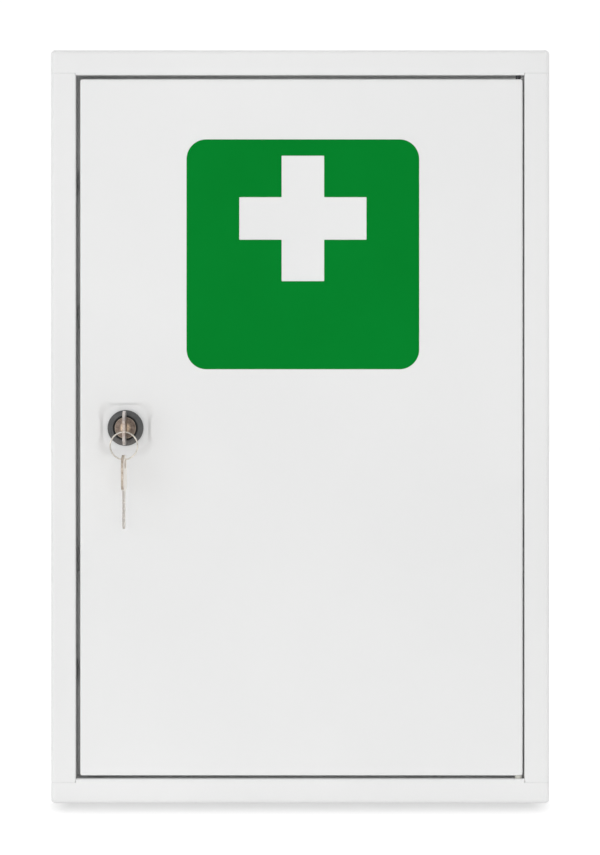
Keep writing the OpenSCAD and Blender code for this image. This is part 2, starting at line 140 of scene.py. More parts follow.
class Shell:
    """Closed surfaces in millimetres: points, their normals where they are known, wear along edges, and faces."""

    def __init__(self):
        self.p, self.n, self.w, self.f = [], [], [], []

    def row(self, pts, normals=None, wear=0.0):
        base, k = len(self.p), len(pts)
        self.p.extend(tuple(float(x) for x in q) for q in pts)
        self.n.extend([None] * k if normals is None else [tuple(float(x) for x in q) for q in normals])
        self.w.extend(float(x) for x in np.broadcast_to(wear, (k,)))
        return list(range(base, base + k))

    def loft(self, a, b, closed=True):
        for i in range(len(a) if closed else len(a) - 1):
            j = (i + 1) % len(a)
            self.f.append((a[i], a[j], b[j], b[i]))

    def fan(self, tip, row, closed=True):
        for i in range(len(row) if closed else len(row) - 1):
            self.f.append((tip, row[i], row[(i + 1) % len(row)]))

    def fill(self, loops):
        """Triangles over the flat region between loops of (indices, their points in the plane)."""
        ids = [i for rows, _ in loops for i in rows]
        flat = np.concatenate([np.asarray(q, float) for _, q in loops])
        edges, base = [], 0
        for rows, _ in loops:
            edges += [(base + i, base + (i + 1) % len(rows)) for i in range(len(rows))]
            base += len(rows)
        made = delaunay_2d_cdt([Vector(q) for q in flat], edges, [], 0, 1e-7)
        back = [o[0] for o in made[3]]
        tris = np.array([[back[i] for i in f] for f in made[2]])
        mid = flat[tris].mean(axis=1)
        inside = np.zeros(len(mid), bool)
        for a, b in edges:
            (ax, ay), (bx, by) = flat[a], flat[b]
            if ay == by:
                continue
            inside ^= ((ay > mid[:, 1]) != (by > mid[:, 1])) & (mid[:, 0] < ax + (mid[:, 1] - ay) * (bx - ax) / (by - ay))
        self.f.extend(tuple(ids[i] for i in t) for t in tris[inside])

    # -------------------------------------------------------- shapes

    def band(self, ax, p, n, h0, h1, r0, r1, m=3, wear=1.0):
        """The rim of a plate along an outline, rounded by r0 at height h0 and by r1 at h1."""
        s, rows = (1 if h1 > h0 else -1), []
        for a in quarter(m):
            q = p - n * r0 * (1 - math.sin(a))
            rows.append(self.row(ax.p(q[:, 0], q[:, 1], h0 + s * r0 * (1 - math.cos(a))),
                                 ax.n(n[:, 0] * math.sin(a), n[:, 1] * math.sin(a), -s * math.cos(a)), wear * math.sin(2 * a)))
        for a in reversed(quarter(m)):
            q = p - n * r1 * (1 - math.sin(a))
            rows.append(self.row(ax.p(q[:, 0], q[:, 1], h1 - s * r1 * (1 - math.cos(a))),
                                 ax.n(n[:, 0] * math.sin(a), n[:, 1] * math.sin(a), s * math.cos(a)), wear * math.sin(2 * a)))
        for a, b in zip(rows, rows[1:]):
            self.loft(a, b)
        return (rows[0], p - n * r0), (rows[-1], p - n * r1)

    def plate(self, ax, outlines, h0, h1, r0=EDGE, r1=None, m=3, dimples=(), depth=0.15):
        """A plate between heights h0 and h1. The first outline is its edge and the others are holes. Dimples are pressed into h1."""
        r1 = r0 if r1 is None else r1
        low, high = [], []
        for p, n in outlines:
            a, b = self.band(ax, p, n, h0, h1, r0, r1, m)
            low.append(a)
            high.append(b)
        s = 1 if h1 > h0 else -1
        for c in dimples:
            rows = []
            for r, d, lean in ((3.1, 0, 0), (2.7, 0.12, 0.3), (2.3, 0.45, 0.5), (1.9, 0.8, 0.4), (1.3, 0.97, 0.12), (0.6, 1, 0)):
                p, n = circle(c, r, 28)
                rows.append((self.row(ax.p(p[:, 0], p[:, 1], h1 - s * depth * d), ax.n(-n[:, 0] * lean * depth, -n[:, 1] * lean * depth, s)), p))
            for a, b in zip(rows, rows[1:]):
                self.loft(a[0], b[0])
            tip = self.row(ax.p(c[0], c[1], h1 - s * depth), ax.n(0, 0, s))[0]
            self.fan(tip, rows[-1][0])
            high.append(rows[0])
        self.fill(low)
        self.fill(high)

    def sheet(self, ax, pts, radii, t, a, b, edge=EDGE, m=3, seg=8, stops=()):
        """Folded sheet metal: a path along the middle of its thickness t, swept from a to b, with rounded edges."""
        p, n = fillet(pts, radii, False, seg)
        rc = min(1.15 * edge, 0.49 * t)
        tan = np.column_stack([-n[:, 1], n[:, 0]])
        p[0] += tan[0] * rc
        p[-1] -= tan[-1] * rc
        k = len(p)
        sec, nor, wear = [], [], []
        for q, w in zip(p, n):
            sec.append(q + w * t / 2)
            nor.append(w)
            wear.append(0)
        for side in (1, -1):
            c = p[-1] + side * n[-1] * (t / 2 - rc)
            for g in quarter(m)[1:] if side > 0 else quarter(m)[:-1]:
                d = side * n[-1] * (math.cos(g) if side > 0 else math.sin(g)) + tan[-1] * (math.sin(g) if side > 0 else math.cos(g))
                sec.append(c + d * rc)
                nor.append(d)
                wear.append(1)
        for q, w in zip(p[::-1], n[::-1]):
            sec.append(q - w * t / 2)
            nor.append(-w)
            wear.append(0)
        for side in (-1, 1):
            c = p[0] + side * n[0] * (t / 2 - rc)
            for g in quarter(m)[1:] if side < 0 else quarter(m)[:-1]:
                d = side * n[0] * (math.cos(g) if side < 0 else math.sin(g)) - tan[0] * (math.sin(g) if side < 0 else math.cos(g))
                sec.append(c + d * rc)
                nor.append(d)
                wear.append(1)
        sec, nor, wear = np.array(sec), np.array(nor), np.array(wear, float)
        rows = []
        for at, way, angles in ((a, 1, reversed(quarter(m))), (b, -1, quarter(m))):
            if way < 0:
                for z in stops:
                    rows.append(self.row(ax.p(sec[:, 0], sec[:, 1], z), ax.n(nor[:, 0], nor[:, 1], 0), wear))
            for g in angles:
                q = sec - nor * edge * (1 - math.cos(g))
                rows.append(self.row(ax.p(q[:, 0], q[:, 1], at + way * edge * (1 - math.sin(g))),
                                     ax.n(nor[:, 0] * math.cos(g), nor[:, 1] * math.cos(g), -way * math.sin(g)),
                                     np.maximum(wear, math.sin(2 * g))))
        for u, v in zip(rows, rows[1:]):
            self.loft(u, v)
        arc = 2 * m
        for r in (rows[0], rows[-1]):
            left, right = r[:k], list(reversed(r[k + arc:k + arc + k]))
            for i in range(k - 1):
                self.f.append((left[i], left[i + 1], right[i + 1], right[i]))
            self.f.append(tuple(r[k - 1:k + arc + 1]))
            self.f.append(tuple(r[k + arc + k - 1:]) + (r[0],))

    def lathe(self, ax, profile, radii, closed, seg=64, fine=4, warp=None, painted_shade=None):
        """Turns a profile of (radius, height) about the third axis, with the outside on the right of its path.
        painted_shade marks the rows whose wear value is set to 1, for a material that paints shade there.
        """
        p, n = fillet(profile, radii, closed, fine)
        a = 2 * math.pi * np.arange(seg) / seg
        c, s = np.cos(a), np.sin(a)
        rows = []
        for (r, h), (nr, nh) in zip(p, n):
            shaded = float(bool(painted_shade and painted_shade(r, h)))
            if r < 1e-6:
                rows.append(self.row(ax.p(0, 0, h), ax.n(0, 0, math.copysign(1, nh))))
                continue
            u, v, w = r * c, r * s, np.full(seg, h)
            normals = ax.n(nr * c, nr * s, nh)
            if warp:
                u, v, w, changed = warp(u, v, w, a)
                if changed:
                    normals = None
            rows.append(self.row(ax.p(u, v, w), normals, shaded))
        for u, v in zip(rows, rows[1:] + (rows[:1] if closed else [])):
            if len(u) == 1:
                self.fan(u[0], v)
            elif len(v) == 1:
                self.fan(v[0], u)
            else:
                self.loft(u, v)

    # -------------------------------------------------------- the finished piece

    def build(self, name, material, body, nodes=(), slot=None):
        return piece_from(name, self.p, self.f, self.n, self.w, material, body, nodes)


def piece_from(name, points, faces, normals, wear, material, body, nodes):
    mesh = bpy.data.meshes.new(name)
    mesh.from_pydata([Vector(q) * MM for q in points], [], faces)
    bm = bmesh.new()
    bm.from_mesh(mesh)
    bmesh.ops.recalc_face_normals(bm, faces=bm.faces)
    bm.to_mesh(mesh)
    bm.free()
    shade(mesh, normals)
    mesh.attributes.new("wear", "FLOAT", "POINT").data.foreach_set("value", np.asarray(wear, np.float32))
    return settle(name, mesh, material, body, nodes)


def shade(mesh, known=None):
    """Smooth shading with exact normals where they are known, and face-area-weighted ones elsewhere."""
    count = len(mesh.vertices)
    total = np.zeros((count, 3))
    for poly in mesh.polygons:
        weight = np.array(poly.normal) * poly.area
        for i in poly.vertices:
            total[i] += weight
    lengths = np.linalg.norm(total, axis=1, keepdims=True)
    total = total / np.where(lengths < 1e-20, 1, lengths)
    if known is not None:
        for i, q in enumerate(known):
            if q is not None:
                q = unit(np.array(q))
                total[i] = q if q @ total[i] >= 0 else -q
    mesh.polygons.foreach_set("use_smooth", [True] * len(mesh.polygons))
    mesh.normals_split_custom_set_from_vertices([Vector(q) for q in total])


def settle(name, mesh, material, body, nodes):
    obj = bpy.data.objects.new(name, mesh)
    bpy.context.scene.collection.objects.link(obj)
    mesh.materials.append(material)
    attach(obj, body)
    if nodes:
        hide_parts(*nodes)
    return obj


def softened(node, name, material, body, width, sharp=28, seg=2, fade=0.1):
    """A piece with a CAD node's own shape and its sharp edges rounded. width gives the radius at a point, in millimetres.
    The faces get an inner border, so that wear stays at the edges."""
    bm = bmesh.new()
    bm.from_mesh(NODES[node].data)
    bmesh.ops.remove_doubles(bm, verts=bm.verts, dist=2e-6)
    bmesh.ops.dissolve_limit(bm, angle_limit=math.radians(0.4), verts=bm.verts, edges=bm.edges)
    bmesh.ops.recalc_face_normals(bm, faces=bm.faces)
    layer, mark = bm.verts.layers.float.new("wear"), bm.faces.layers.int.new("rounded")
    groups = {}
    for e in bm.edges:
        if len(e.link_faces) == 2 and e.calc_face_angle(0) > math.radians(sharp):
            mid = (e.verts[0].co + e.verts[1].co) / 2 / MM
            groups.setdefault(width(mid), []).append(e)
    for r in sorted(groups, reverse=True):
        edges = [e for e in groups[r] if e.is_valid]
        made = bmesh.ops.bevel(bm, geom=edges, offset=r * MM, offset_type="OFFSET", segments=seg, profile=0.5, affect="EDGES", clamp_overlap=True)
        for f in made["faces"]:
            f[mark] = 1
    bmesh.ops.remove_doubles(bm, verts=bm.verts, dist=1e-6)
    for f in bm.faces:
        for v in f.verts:
            v[layer] = 1.0
    flat = [f for f in bm.faces if not f[mark]]
    bmesh.ops.inset_region(bm, faces=flat, thickness=fade * MM, use_even_offset=True, use_boundary=True)
    for f in flat:
        for v in f.verts:
            v[layer] = 0.0
    bmesh.ops.recalc_face_normals(bm, faces=bm.faces)
    mesh = bpy.data.meshes.new(name)
    bm.to_mesh(mesh)
    bm.free()
    shade(mesh)
    return settle(name, mesh, material, body, [node])


# ------------------------------------------------------------------ materials

class Material:
    """Adds shader nodes from left to right, and links them."""

    def __init__(self, name):
        self.mat = bpy.data.materials.new(name)
        self.mat.use_nodes = True
        self.tree = self.mat.node_tree
        self.bsdf = self.tree.nodes["Principled BSDF"]
        self.place = self.node("ShaderNodeTexCoord").outputs["Object"]

    def node(self, kind, **settings):
        made = self.tree.nodes.new(kind)
        for key, value in settings.items():
            setattr(made, key, value)
        return made

    def link(self, a, b):
        self.tree.links.new(a, b)

    def set(self, **values):
        for key, value in values.items():
            self.bsdf.inputs[key.replace("_", " ")].default_value = value
        return self

    def stretched(self, scale):
        made = self.node("ShaderNodeMapping")
        made.inputs["Scale"].default_value = scale
        self.link(self.place, made.inputs["Vector"])
        return made.outputs["Vector"]

    def noise(self, scale, detail=2.0, rough=0.5, distortion=0.0, where=None):
        made = self.node("ShaderNodeTexNoise")
        made.inputs["Scale"].default_value = scale
        made.inputs["Detail"].default_value = detail
        made.inputs["Roughness"].default_value = rough
        made.inputs["Distortion"].default_value = distortion
        self.link(where or self.place, made.inputs["Vector"])
        return made.outputs["Fac"]

    def voronoi(self, scale, feature="F1", where=None, out="Distance"):
        made = self.node("ShaderNodeTexVoronoi", feature=feature)
        made.inputs["Scale"].default_value = scale
        self.link(where or self.place, made.inputs["Vector"])
        return made.outputs[out]

    def wear(self):
        return self.node("ShaderNodeAttribute", attribute_name="wear").outputs["Fac"]

    def range(self, value, a, b, to0, to1):
        made = self.node("ShaderNodeMapRange")
        for key, v in (("From Min", a), ("From Max", b), ("To Min", to0), ("To Max", to1)):
            made.inputs[key].default_value = v
        self.link(value, made.inputs["Value"])
        return made.outputs["Result"]

    def math(self, op, a, b):
        made = self.node("ShaderNodeMath", operation=op)
        for i, x in enumerate((a, b)):
            if isinstance(x, (int, float)):
                made.inputs[i].default_value = x
            else:
                self.link(x, made.inputs[i])
        return made.outputs[0]

    def mix(self, fac, a, b, blend="MIX"):
        made = self.node("ShaderNodeMix", data_type="RGBA", blend_type=blend)
        self.link(fac, made.inputs["Factor"])
        for i, x in ((6, a), (7, b)):
            if isinstance(x, tuple):
                made.inputs[i].default_value = (*x, 1)
            else:
                self.link(x, made.inputs[i])
        return made.outputs[2]

    def bump(self, *layers):
        """Layers of (height, strength, distance in metres), one over another."""
        normal = None
        for height, strength, distance in layers:
            made = self.node("ShaderNodeBump")
            made.inputs["Strength"].default_value = strength
            made.inputs["Distance"].default_value = distance
            self.link(height, made.inputs["Height"])
            if normal:
                self.link(normal, made.inputs["Normal"])
            normal = made.outputs["Normal"]
        self.link(normal, self.bsdf.inputs["Normal"])
        return self

    def color(self, out):
        self.link(out, self.bsdf.inputs["Base Color"])
        return self

    def rough(self, out):
        self.link(out, self.bsdf.inputs["Roughness"])
        return self


def powder_coat():
    """White polyester powder: a fine orange peel, a little uneven in gloss and tone, thinner and greyer over sharp edges."""
    m = Material("white_powder_coat")
    m.set(Specular_IOR_Level=0.32)
    tone = m.mix(m.range(m.noise(9, 2), 0.35, 0.65, 0, 1), (0.806, 0.808, 0.806), (0.826, 0.828, 0.825))
    speck = m.range(m.noise(1500, 1), 0.3, 0.7, 0, 1)
    tone = m.mix(m.math("MULTIPLY", speck, 0.35), tone, (0.842, 0.843, 0.840))
    thin = m.math("MULTIPLY", m.wear(), m.range(m.noise(420, 3), 0.42, 0.62, 0.1, 0.55))
    m.color(m.mix(thin, tone, (0.66, 0.665, 0.67)))
    m.rough(m.range(m.noise(160, 3), 0.3, 0.7, 0.34, 0.46))
    peel = m.noise(620, 2, 0.45)
    fine = m.noise(2600, 2, 0.5)
    return m.bump((peel, 0.16, 0.00018), (fine, 0.10, 0.00003)).mat


def vinyl():
    m = Material("green_vinyl")
    m.set(Specular_IOR_Level=0.02)
    m.color(m.mix(m.range(m.noise(14, 3), 0.3, 0.7, 0, 1), (0.0003, 0.212, 0.0225), (0.0006, 0.225, 0.0255)))
    m.rough(m.range(m.noise(220, 3), 0.3, 0.7, 0.36, 0.48))
    return m.bump((m.noise(620, 2, 0.45), 0.10, 0.00012), (m.noise(3000, 2), 0.05, 0.00002)).mat


def metal(name, light, dark, lo, hi, scale=120.0, brushed=None, edge_wear_and_shade=None, specks=None, bump=0.12, reflection_band=None, highlight_patch=None, faces=None):
    """Plated or plain metal: clouds of tone, brushing along one direction, and another metal showing where the plating
    wears; on the spare key that edge colour is painted shade.
    reflection_band is (height, half length, colour) of a mottled brown band painted across the key's middle as a dark
    reflection, and highlight_patch is (radius, colour) of a bright patch painted about the lock's axis as a highlight.
    faces is a lighter colour painted on the two broad faces of a flat piece that lies across X: painted light against
    the darker edges."""
    m = Material(name)
    m.set(Metallic=1.0)
    tone = m.mix(m.range(m.noise(scale, 4, 0.6), 0.32, 0.68, 0, 1), light, dark)
    # painted light: broad faces are made lighter than the edges by their direction
    if faces:
        split = m.node("ShaderNodeSeparateXYZ")
        m.link(m.node("ShaderNodeTexCoord").outputs["Normal"], split.inputs["Vector"])
        tone = m.mix(m.range(m.math("ABSOLUTE", split.outputs["X"], 0), 0.80, 0.95, 0, 1), tone, faces)
    if specks:
        tone = m.mix(m.range(m.noise(scale * 9, 2, 0.7), 0.58, 0.72, 0, 0.7), tone, specks)
    # painted reflection: a brown band across the middle, as the dark front mirrored in the key
    if reflection_band:
        split = m.node("ShaderNodeSeparateXYZ")
        m.link(m.place, split.inputs["Vector"])
        off = m.math("ABSOLUTE", m.math("SUBTRACT", split.outputs["Z"], reflection_band[0]), 0)
        band = m.math("MULTIPLY", m.range(off, reflection_band[1], reflection_band[1] * 0.45, 0, 1), m.range(m.noise(900, 3, 0.6), 0.35, 0.62, 0.25, 1.0))
        tone = m.mix(band, tone, reflection_band[2])
    # painted highlight: a bright warm patch about the lock's axis
    if highlight_patch:
        split = m.node("ShaderNodeSeparateXYZ")
        m.link(m.place, split.inputs["Vector"])
        dx, dz = (m.math("SUBTRACT", split.outputs[k], c * MM) for k, c in (("X", LX), ("Z", LZ)))
        far = m.math("SQRT", m.math("ADD", m.math("MULTIPLY", dx, dx), m.math("MULTIPLY", dz, dz)), 0)
        highlight_mask = m.math("MULTIPLY", m.range(far, highlight_patch[0], highlight_patch[0] * 0.55, 0, 1), m.range(m.noise(620, 3, 0.6), 0.34, 0.56, 0.45, 1.0))
        tone = m.mix(highlight_mask, tone, highlight_patch[1])
    # edges take this colour: plating worn through, and on the spare key painted shade
    if edge_wear_and_shade:
        tone = m.mix(m.math("MULTIPLY", m.wear(), m.range(m.noise(700, 3), 0.35, 0.6, 0.35, 1.0)), tone, edge_wear_and_shade)
    m.color(tone)
    m.rough(m.range(m.noise(scale * 3, 4, 0.65), 0.3, 0.7, lo, hi))
    layers = [(m.noise(1900, 3, 0.6), bump, 0.00003)]
    if brushed:
        layers.insert(0, (m.noise(1.0, 3, 0.6, where=m.stretched(brushed)), bump * 1.6, 0.00004))
    return m.bump(*layers).mat


def bezel_black():
    m = Material("black_bezel")
    m.set(Specular_IOR_Level=0.55)
    tone = m.mix(m.range(m.noise(300, 3), 0.3, 0.7, 0, 1), (0.057, 0.059, 0.060), (0.082, 0.083, 0.083))
    split = m.node("ShaderNodeSeparateXYZ")
    m.link(m.place, split.inputs["Vector"])
    # painted reflection: the bezel's lower part is made lighter grey, as if it mirrored the floor below
    under = m.math("MULTIPLY", m.range(split.outputs["Z"], (LZ - 3.5) * MM, (LZ - 8.5) * MM, 0, 1), m.range(m.noise(700, 3), 0.35, 0.62, 0.35, 1.0))
    tone = m.mix(under, tone, (0.122, 0.112, 0.104))   # lighter grey towards the bottom: a painted reflection of the floor, where the ring also rubs
    # the wear value paints the counterbore round the plug near black, as painted shade in the gap; it also darkens the
    # stop ring's rounded edges
    m.color(m.mix(m.wear(), tone, (0.006, 0.006, 0.006)))
    m.rough(m.range(m.noise(500, 3), 0.3, 0.7, 0.33, 0.46))
    return m.bump((m.noise(1500, 3, 0.6), 0.25, 0.00004)).mat


def rubber():
    m = Material("black_rubber")
    m.set(Specular_IOR_Level=0.35)
    m.color(m.mix(m.range(m.noise(350, 4), 0.3, 0.7, 0, 1), (0.014, 0.014, 0.015), (0.030, 0.030, 0.031)))
    m.rough(m.range(m.noise(400, 3), 0.3, 0.7, 0.62, 0.82))
    return m.bump((m.noise(1200, 4, 0.6), 0.3, 0.00006)).mat


def nylon():
    m = Material("natural_nylon")
    m.set(Specular_IOR_Level=0.4)
    m.color(m.mix(m.range(m.noise(240, 3), 0.3, 0.7, 0, 1), (0.50, 0.50, 0.455), (0.56, 0.555, 0.51)))
    m.rough(m.range(m.noise(500, 3), 0.3, 0.7, 0.38, 0.5))
    return m.bump((m.noise(900, 2), 0.15, 0.00004)).mat


PAINT = powder_coat()
VINYL = vinyl()
BEZEL = bezel_black()
RUBBER = rubber()
NYLON = nylon()
ZINC = metal("zinc_plate", (0.60, 0.62, 0.65), (0.50, 0.515, 0.53), 0.30, 0.46, scale=260, edge_wear_and_shade=(0.42, 0.42, 0.42), specks=(0.68, 0.66, 0.58))
# near-black metal for the pivot pins, standing for the shade of the gap they sit in: painted shade
PIN_METAL_PAINTED_DARK = metal("pin_metal_painted_dark", (0.075, 0.075, 0.080), (0.045, 0.045, 0.050), 0.38, 0.55, scale=300, edge_wear_and_shade=(0.20, 0.20, 0.20))
CAM_ZINC = metal("zinc_cam", (0.62, 0.64, 0.66), (0.50, 0.51, 0.53), 0.28, 0.42, scale=200, brushed=(2400, 2400, 90), edge_wear_and_shade=(0.40, 0.40, 0.40))
# the plug's bright warm patch about the keyway is a painted highlight
PLUG = metal("plug_nickel", (0.325, 0.262, 0.222), (0.155, 0.117, 0.096), 0.36, 0.56, scale=520, edge_wear_and_shade=(0.56, 0.47, 0.37), specks=(0.52, 0.44, 0.37), bump=0.35,
             highlight_patch=(0.0036, (1.0, 0.80, 0.60)))
# the key's brown band at the lock's height is a painted dark reflection
KEY = metal("key_nickel", (0.84, 0.80, 0.78), (0.66, 0.60, 0.56), 0.26, 0.42, scale=420, brushed=(160, 900, 2600), edge_wear_and_shade=(0.56, 0.47, 0.41), bump=0.2,
            reflection_band=(LZ * MM, 0.0072, (0.44, 0.34, 0.27)))
# spare key: painted light on its broad faces and painted shade, dark brown, along its edges
SPARE = metal("spare_key_nickel", (0.70, 0.62, 0.54), (0.46, 0.38, 0.31), 0.48, 0.62, scale=420, brushed=(160, 900, 2600), edge_wear_and_shade=(0.26, 0.20, 0.16), bump=0.2,
              faces=(0.97, 0.93, 0.88))
RING = metal("ring_steel", (0.82, 0.77, 0.69), (0.52, 0.49, 0.45), 0.24, 0.36, scale=500, edge_wear_and_shade=(0.40, 0.37, 0.34), bump=0.08)
BRASS = metal("wafer_brass", (0.70, 0.53, 0.24), (0.54, 0.38, 0.15), 0.26, 0.42, scale=500, brushed=(2600, 300, 300))
SPRING = metal("spring_steel", (0.56, 0.56, 0.57), (0.42, 0.42, 0.43), 0.22, 0.36, scale=900)


# ------------------------------------------------------------------ cabinet

def side_panel(sgn):
    """Wall, stile, lip and rear flange from one folded sheet, with the tongues that reach into the caps."""
    sh = Shell()
    ax = Axes((sgn, 0, 0), (0, 1, 0), (0, 0, 1))
    path = [(OX + 0.5, LIP_END), (OX + 0.5, YF + 0.5), (XO - 0.5, YF + 0.5), (XO - 0.5, -1.5), (XO - 14, -1.5)]
    sh.sheet(ax, path, [0, LIP_R - 0.5, BEND - 0.5, REAR_R - 0.5, 0], SHEET, -ZT + BOTTOM_H, ZT - TOP_H, seg=12)
    for z0, z1 in ((ZT - TOP_H - 9, ZT - TOP_H + 11), (-ZT + BOTTOM_H - 10, -ZT + BOTTOM_H + 9)):
        for across, at in (((YF + 5, -5), "wall"), ((OX + 3, XO - 4), "stile")):
            p, n = fillet([(across[0], z0), (across[1], z0), (across[1], z1), (across[0], z1)], [1.5] * 4, True, 5)
            if at == "wall":
                sh.plate(Axes((0, 1, 0), (0, 0, 1), (sgn, 0, 0)), [(p, n)], XO - 2, XO - 1.01, 0.18)
            else:
                sh.plate(Axes((sgn, 0, 0), (0, 0, 1), (0, 1, 0)), [(p, n)], YF + 1.01, YF + 2, 0.18)
    if sgn < 0:
        for z in (-150.0, 150.0):
            p, n = fillet([(-OX - 0.5, z - 7), (-OX + 10, z - 7), (-OX + 10, z + 7), (-OX - 0.5, z + 7)], [0.25, 2.2, 2.2, 0.25], True, 8)
            sh.plate(XZY, [(p, n), hole((-OX + 5.45, z), 2.0, 32)], LIP_END - 1, LIP_END, 0.2)
    return sh


def cap_loop(d, front, rear, columns):
    """The cap's outline moved in by d, anticlockwise from the front left corner, with fixed columns along the front."""
    p, n = [], []
    corners = ((-1, -1, front, 180), (1, -1, front, 270), (1, 1, rear, 0), (-1, 1, rear, 90))
    lo, hi = YF + d, -SHEET - d
    sides = (columns, [-110.0, -70.0, -30.0], [95.0, 48.0, 0.0, -48.0, -95.0], [-30.0, -70.0, -110.0])
    for (sx, sy, radius, start), stops, k in zip(corners, sides, range(4)):
        r = max(radius - d, 0.05)
        c = np.array([sx * (XO - d - r), (lo + r) if sy < 0 else (hi - r)])
        for j in range(9):
            a = math.radians(start + 90 * j / 8)
            w = np.array([math.cos(a), math.sin(a)])
            p.append(c + r * w)
            n.append(w)
        for q in stops:
            if k in (0, 2):
                p.append(np.array([q, lo if k == 0 else hi]))
                n.append(np.array([0.0, -1.0 if k == 0 else 1.0]))
            else:
                p.append(np.array([(XO - d) * (1 if k == 1 else -1), q]))
                n.append(np.array([1.0 if k == 1 else -1.0, 0.0]))
    return np.array(p), np.array(n)


def cap(sgn, rail, height):
    """Top or bottom: a tray with rounded edges and corners, and the rail's lip turned in along the opening."""
    sh = Shell()
    e, m = EDGE, 3
    rim, lip = ZT - height, ZT - rail
    ends = [OX - e, OX - e * (1 - math.sin(math.pi / 4)), OX]
    inset = [0.0, e * (1 - math.cos(math.pi / 4)), e]
    columns = [-x for x in reversed(ends)] + [-92.0, -46.0, 0.0, 46.0, 92.0] + ends
    first = 9
    zone = list(range(first, first + len(columns)))

    def place(d, z, nd, nz, wear=0.0):
        p, n = cap_loop(d, 2.6, 1.7, columns)
        return sh.row(XYZ.p(p[:, 0], p[:, 1], sgn * z), XYZ.n(n[:, 0] * nd, n[:, 1] * nd, sgn * nz), wear), p

    outer = [place(0, rim + e, 1, 0)]
    inner = [place(SHEET, rim + e, -1, 0)]
    for g in quarter(8):
        outer.append(place(BEND * (1 - math.cos(g)), ZT - BEND + BEND * math.sin(g), math.cos(g), math.sin(g), 0.0))
        r = BEND - SHEET
        inner.append(place(BEND - r * math.cos(g), ZT - BEND + r * math.sin(g), -math.cos(g), -math.sin(g)))
    for rows in (outer, inner):
        for a, b in zip(rows, rows[1:]):
            sh.loft(a[0], b[0])
        sh.fill([rows[-1]])

    # rim, everywhere but under the lip's own stretch
    count = len(outer[0][0])
    free = [i for i in list(range(zone[-1], count)) + list(range(0, zone[0] + 1))]
    rims = []
    steps = [(e * (1 - math.cos(g)), rim + e * (1 - math.sin(g)), math.cos(g), -math.sin(g), math.sin(2 * g)) for g in quarter(m)[1:]]
    steps += [(SHEET - e + e * math.sin(g), rim + e * (1 - math.cos(g)), -math.sin(g), -math.cos(g), math.sin(2 * g)) for g in quarter(m)[:-1]]
    for d, z, nd, nz, wear in steps:
        p, n = cap_loop(d, 2.6, 1.7, columns)
        p, n = p[free], n[free]
        rims.append(sh.row(XYZ.p(p[:, 0], p[:, 1], sgn * z), XYZ.n(n[:, 0] * nd, n[:, 1] * nd, sgn * nz), wear))
    rims = [[outer[0][0][i] for i in free]] + rims + [[inner[0][0][i] for i in free]]
    for a, b in zip(rims, rims[1:]):
        sh.loft(a, b, closed=False)

    # lip, from the rail's outer face round its end and back to the inner face
    p, n = fillet([(YF + 0.5, rim + e), (YF + 0.5, lip + 0.5), (LIP_END, lip + 0.5)], [0, LIP_R - 0.5, 0], False, 10)
    rc = 1.15 * e
    tan = np.column_stack([-n[:, 1], n[:, 0]])
    p[-1] -= tan[-1] * rc
    sec, nor, wear = [], [], []
    for q, w in zip(p, n):
        sec.append(q + w * 0.5); nor.append(w); wear.append(0)
    for side, angles in ((1, quarter(m)[1:]), (-1, quarter(m)[:-1])):
        c = p[-1] + side * n[-1] * (0.5 - rc)
        for g in angles:
            d = side * n[-1] * (math.cos(g) if side > 0 else math.sin(g)) + tan[-1] * (math.sin(g) if side > 0 else math.cos(g))
            sec.append(c + d * rc); nor.append(d); wear.append(1)
    for q, w in zip(p[::-1], n[::-1]):
        sec.append(q - w * 0.5); nor.append(-w); wear.append(0)
    sec, nor = np.array(sec), np.array(nor)
    grid = []
    for i, x in zip(zone, columns):
        near = min(range(3), key=lambda k: abs(abs(x) - ends[k])) if abs(x) > OX - 1 else 0
        a = (0.0, math.pi / 4, math.pi / 2)[near] if abs(x) > OX - 1 else 0.0
        d = inset[near] if abs(x) > OX - 1 else 0.0
        fade = np.clip((rim + e - sec[:, 1]) / 0.4, 0, 1)[:, None]
        q = sec - nor * d * fade
        lean = math.copysign(math.sin(a), x) * fade[:, 0]
        keep = np.sqrt(1 - lean ** 2)
        row = sh.row(XYZ.p(np.full(len(q), x), q[:, 0], sgn * q[:, 1]), XYZ.n(lean, nor[:, 0] * keep, sgn * nor[:, 1] * keep),
                     np.maximum(wear, math.sin(2 * a) * fade[:, 0]))
        row[0], row[-1] = outer[0][0][i], inner[0][0][i]
        grid.append(row)
    for a, b in zip(grid, grid[1:]):
        sh.loft(a, b, closed=False)
    k = len(p)
    for row, rim_at in ((grid[0], -1), (grid[-1], 0)):
        left, right = row[:k], list(reversed(row[-k:]))
        for i in range(1, k - 1):
            sh.f.append((left[i], left[i + 1], right[i + 1], right[i]))
        sh.f.append(tuple(row[k - 1:len(row) - k + 1]))
        sh.f.append((left[1], left[0]) + tuple(r[rim_at] for r in rims[1:-1]) + (right[0], right[1]))
    drop_unused(sh)
    return sh


def drop_unused(sh):
    """Removes points that no face uses."""
    used = sorted({i for f in sh.f for i in f})
    new = {old: i for i, old in enumerate(used)}
    sh.p, sh.n, sh.w = [sh.p[i] for i in used], [sh.n[i] for i in used], [sh.w[i] for i in used]
    sh.f = [tuple(new[i] for i in f) for f in sh.f]


def back_panel():
    sh = Shell()
    p, n = fillet([(-150, -228), (150, -228), (150, 228), (-150, 228)], [1.5] * 4, True, 6)
    holes = [hole((x * 110, z * 190), 3.5, 48) for x in (-1, 1) for z in (-1, 1)]
    spots = [(s * 144.4, z) for s in (-1, 1) for z in (-170, -102, -34, 34, 102, 170)]
    spots += [(x, s * 221.6) for s in (-1, 1) for x in (-112, -56, 0, 56, 112)]
    sh.plate(XZY, [(p, n), *holes], -1.0, 0.0, 0.2, dimples=spots, depth=0.12)
    return sh


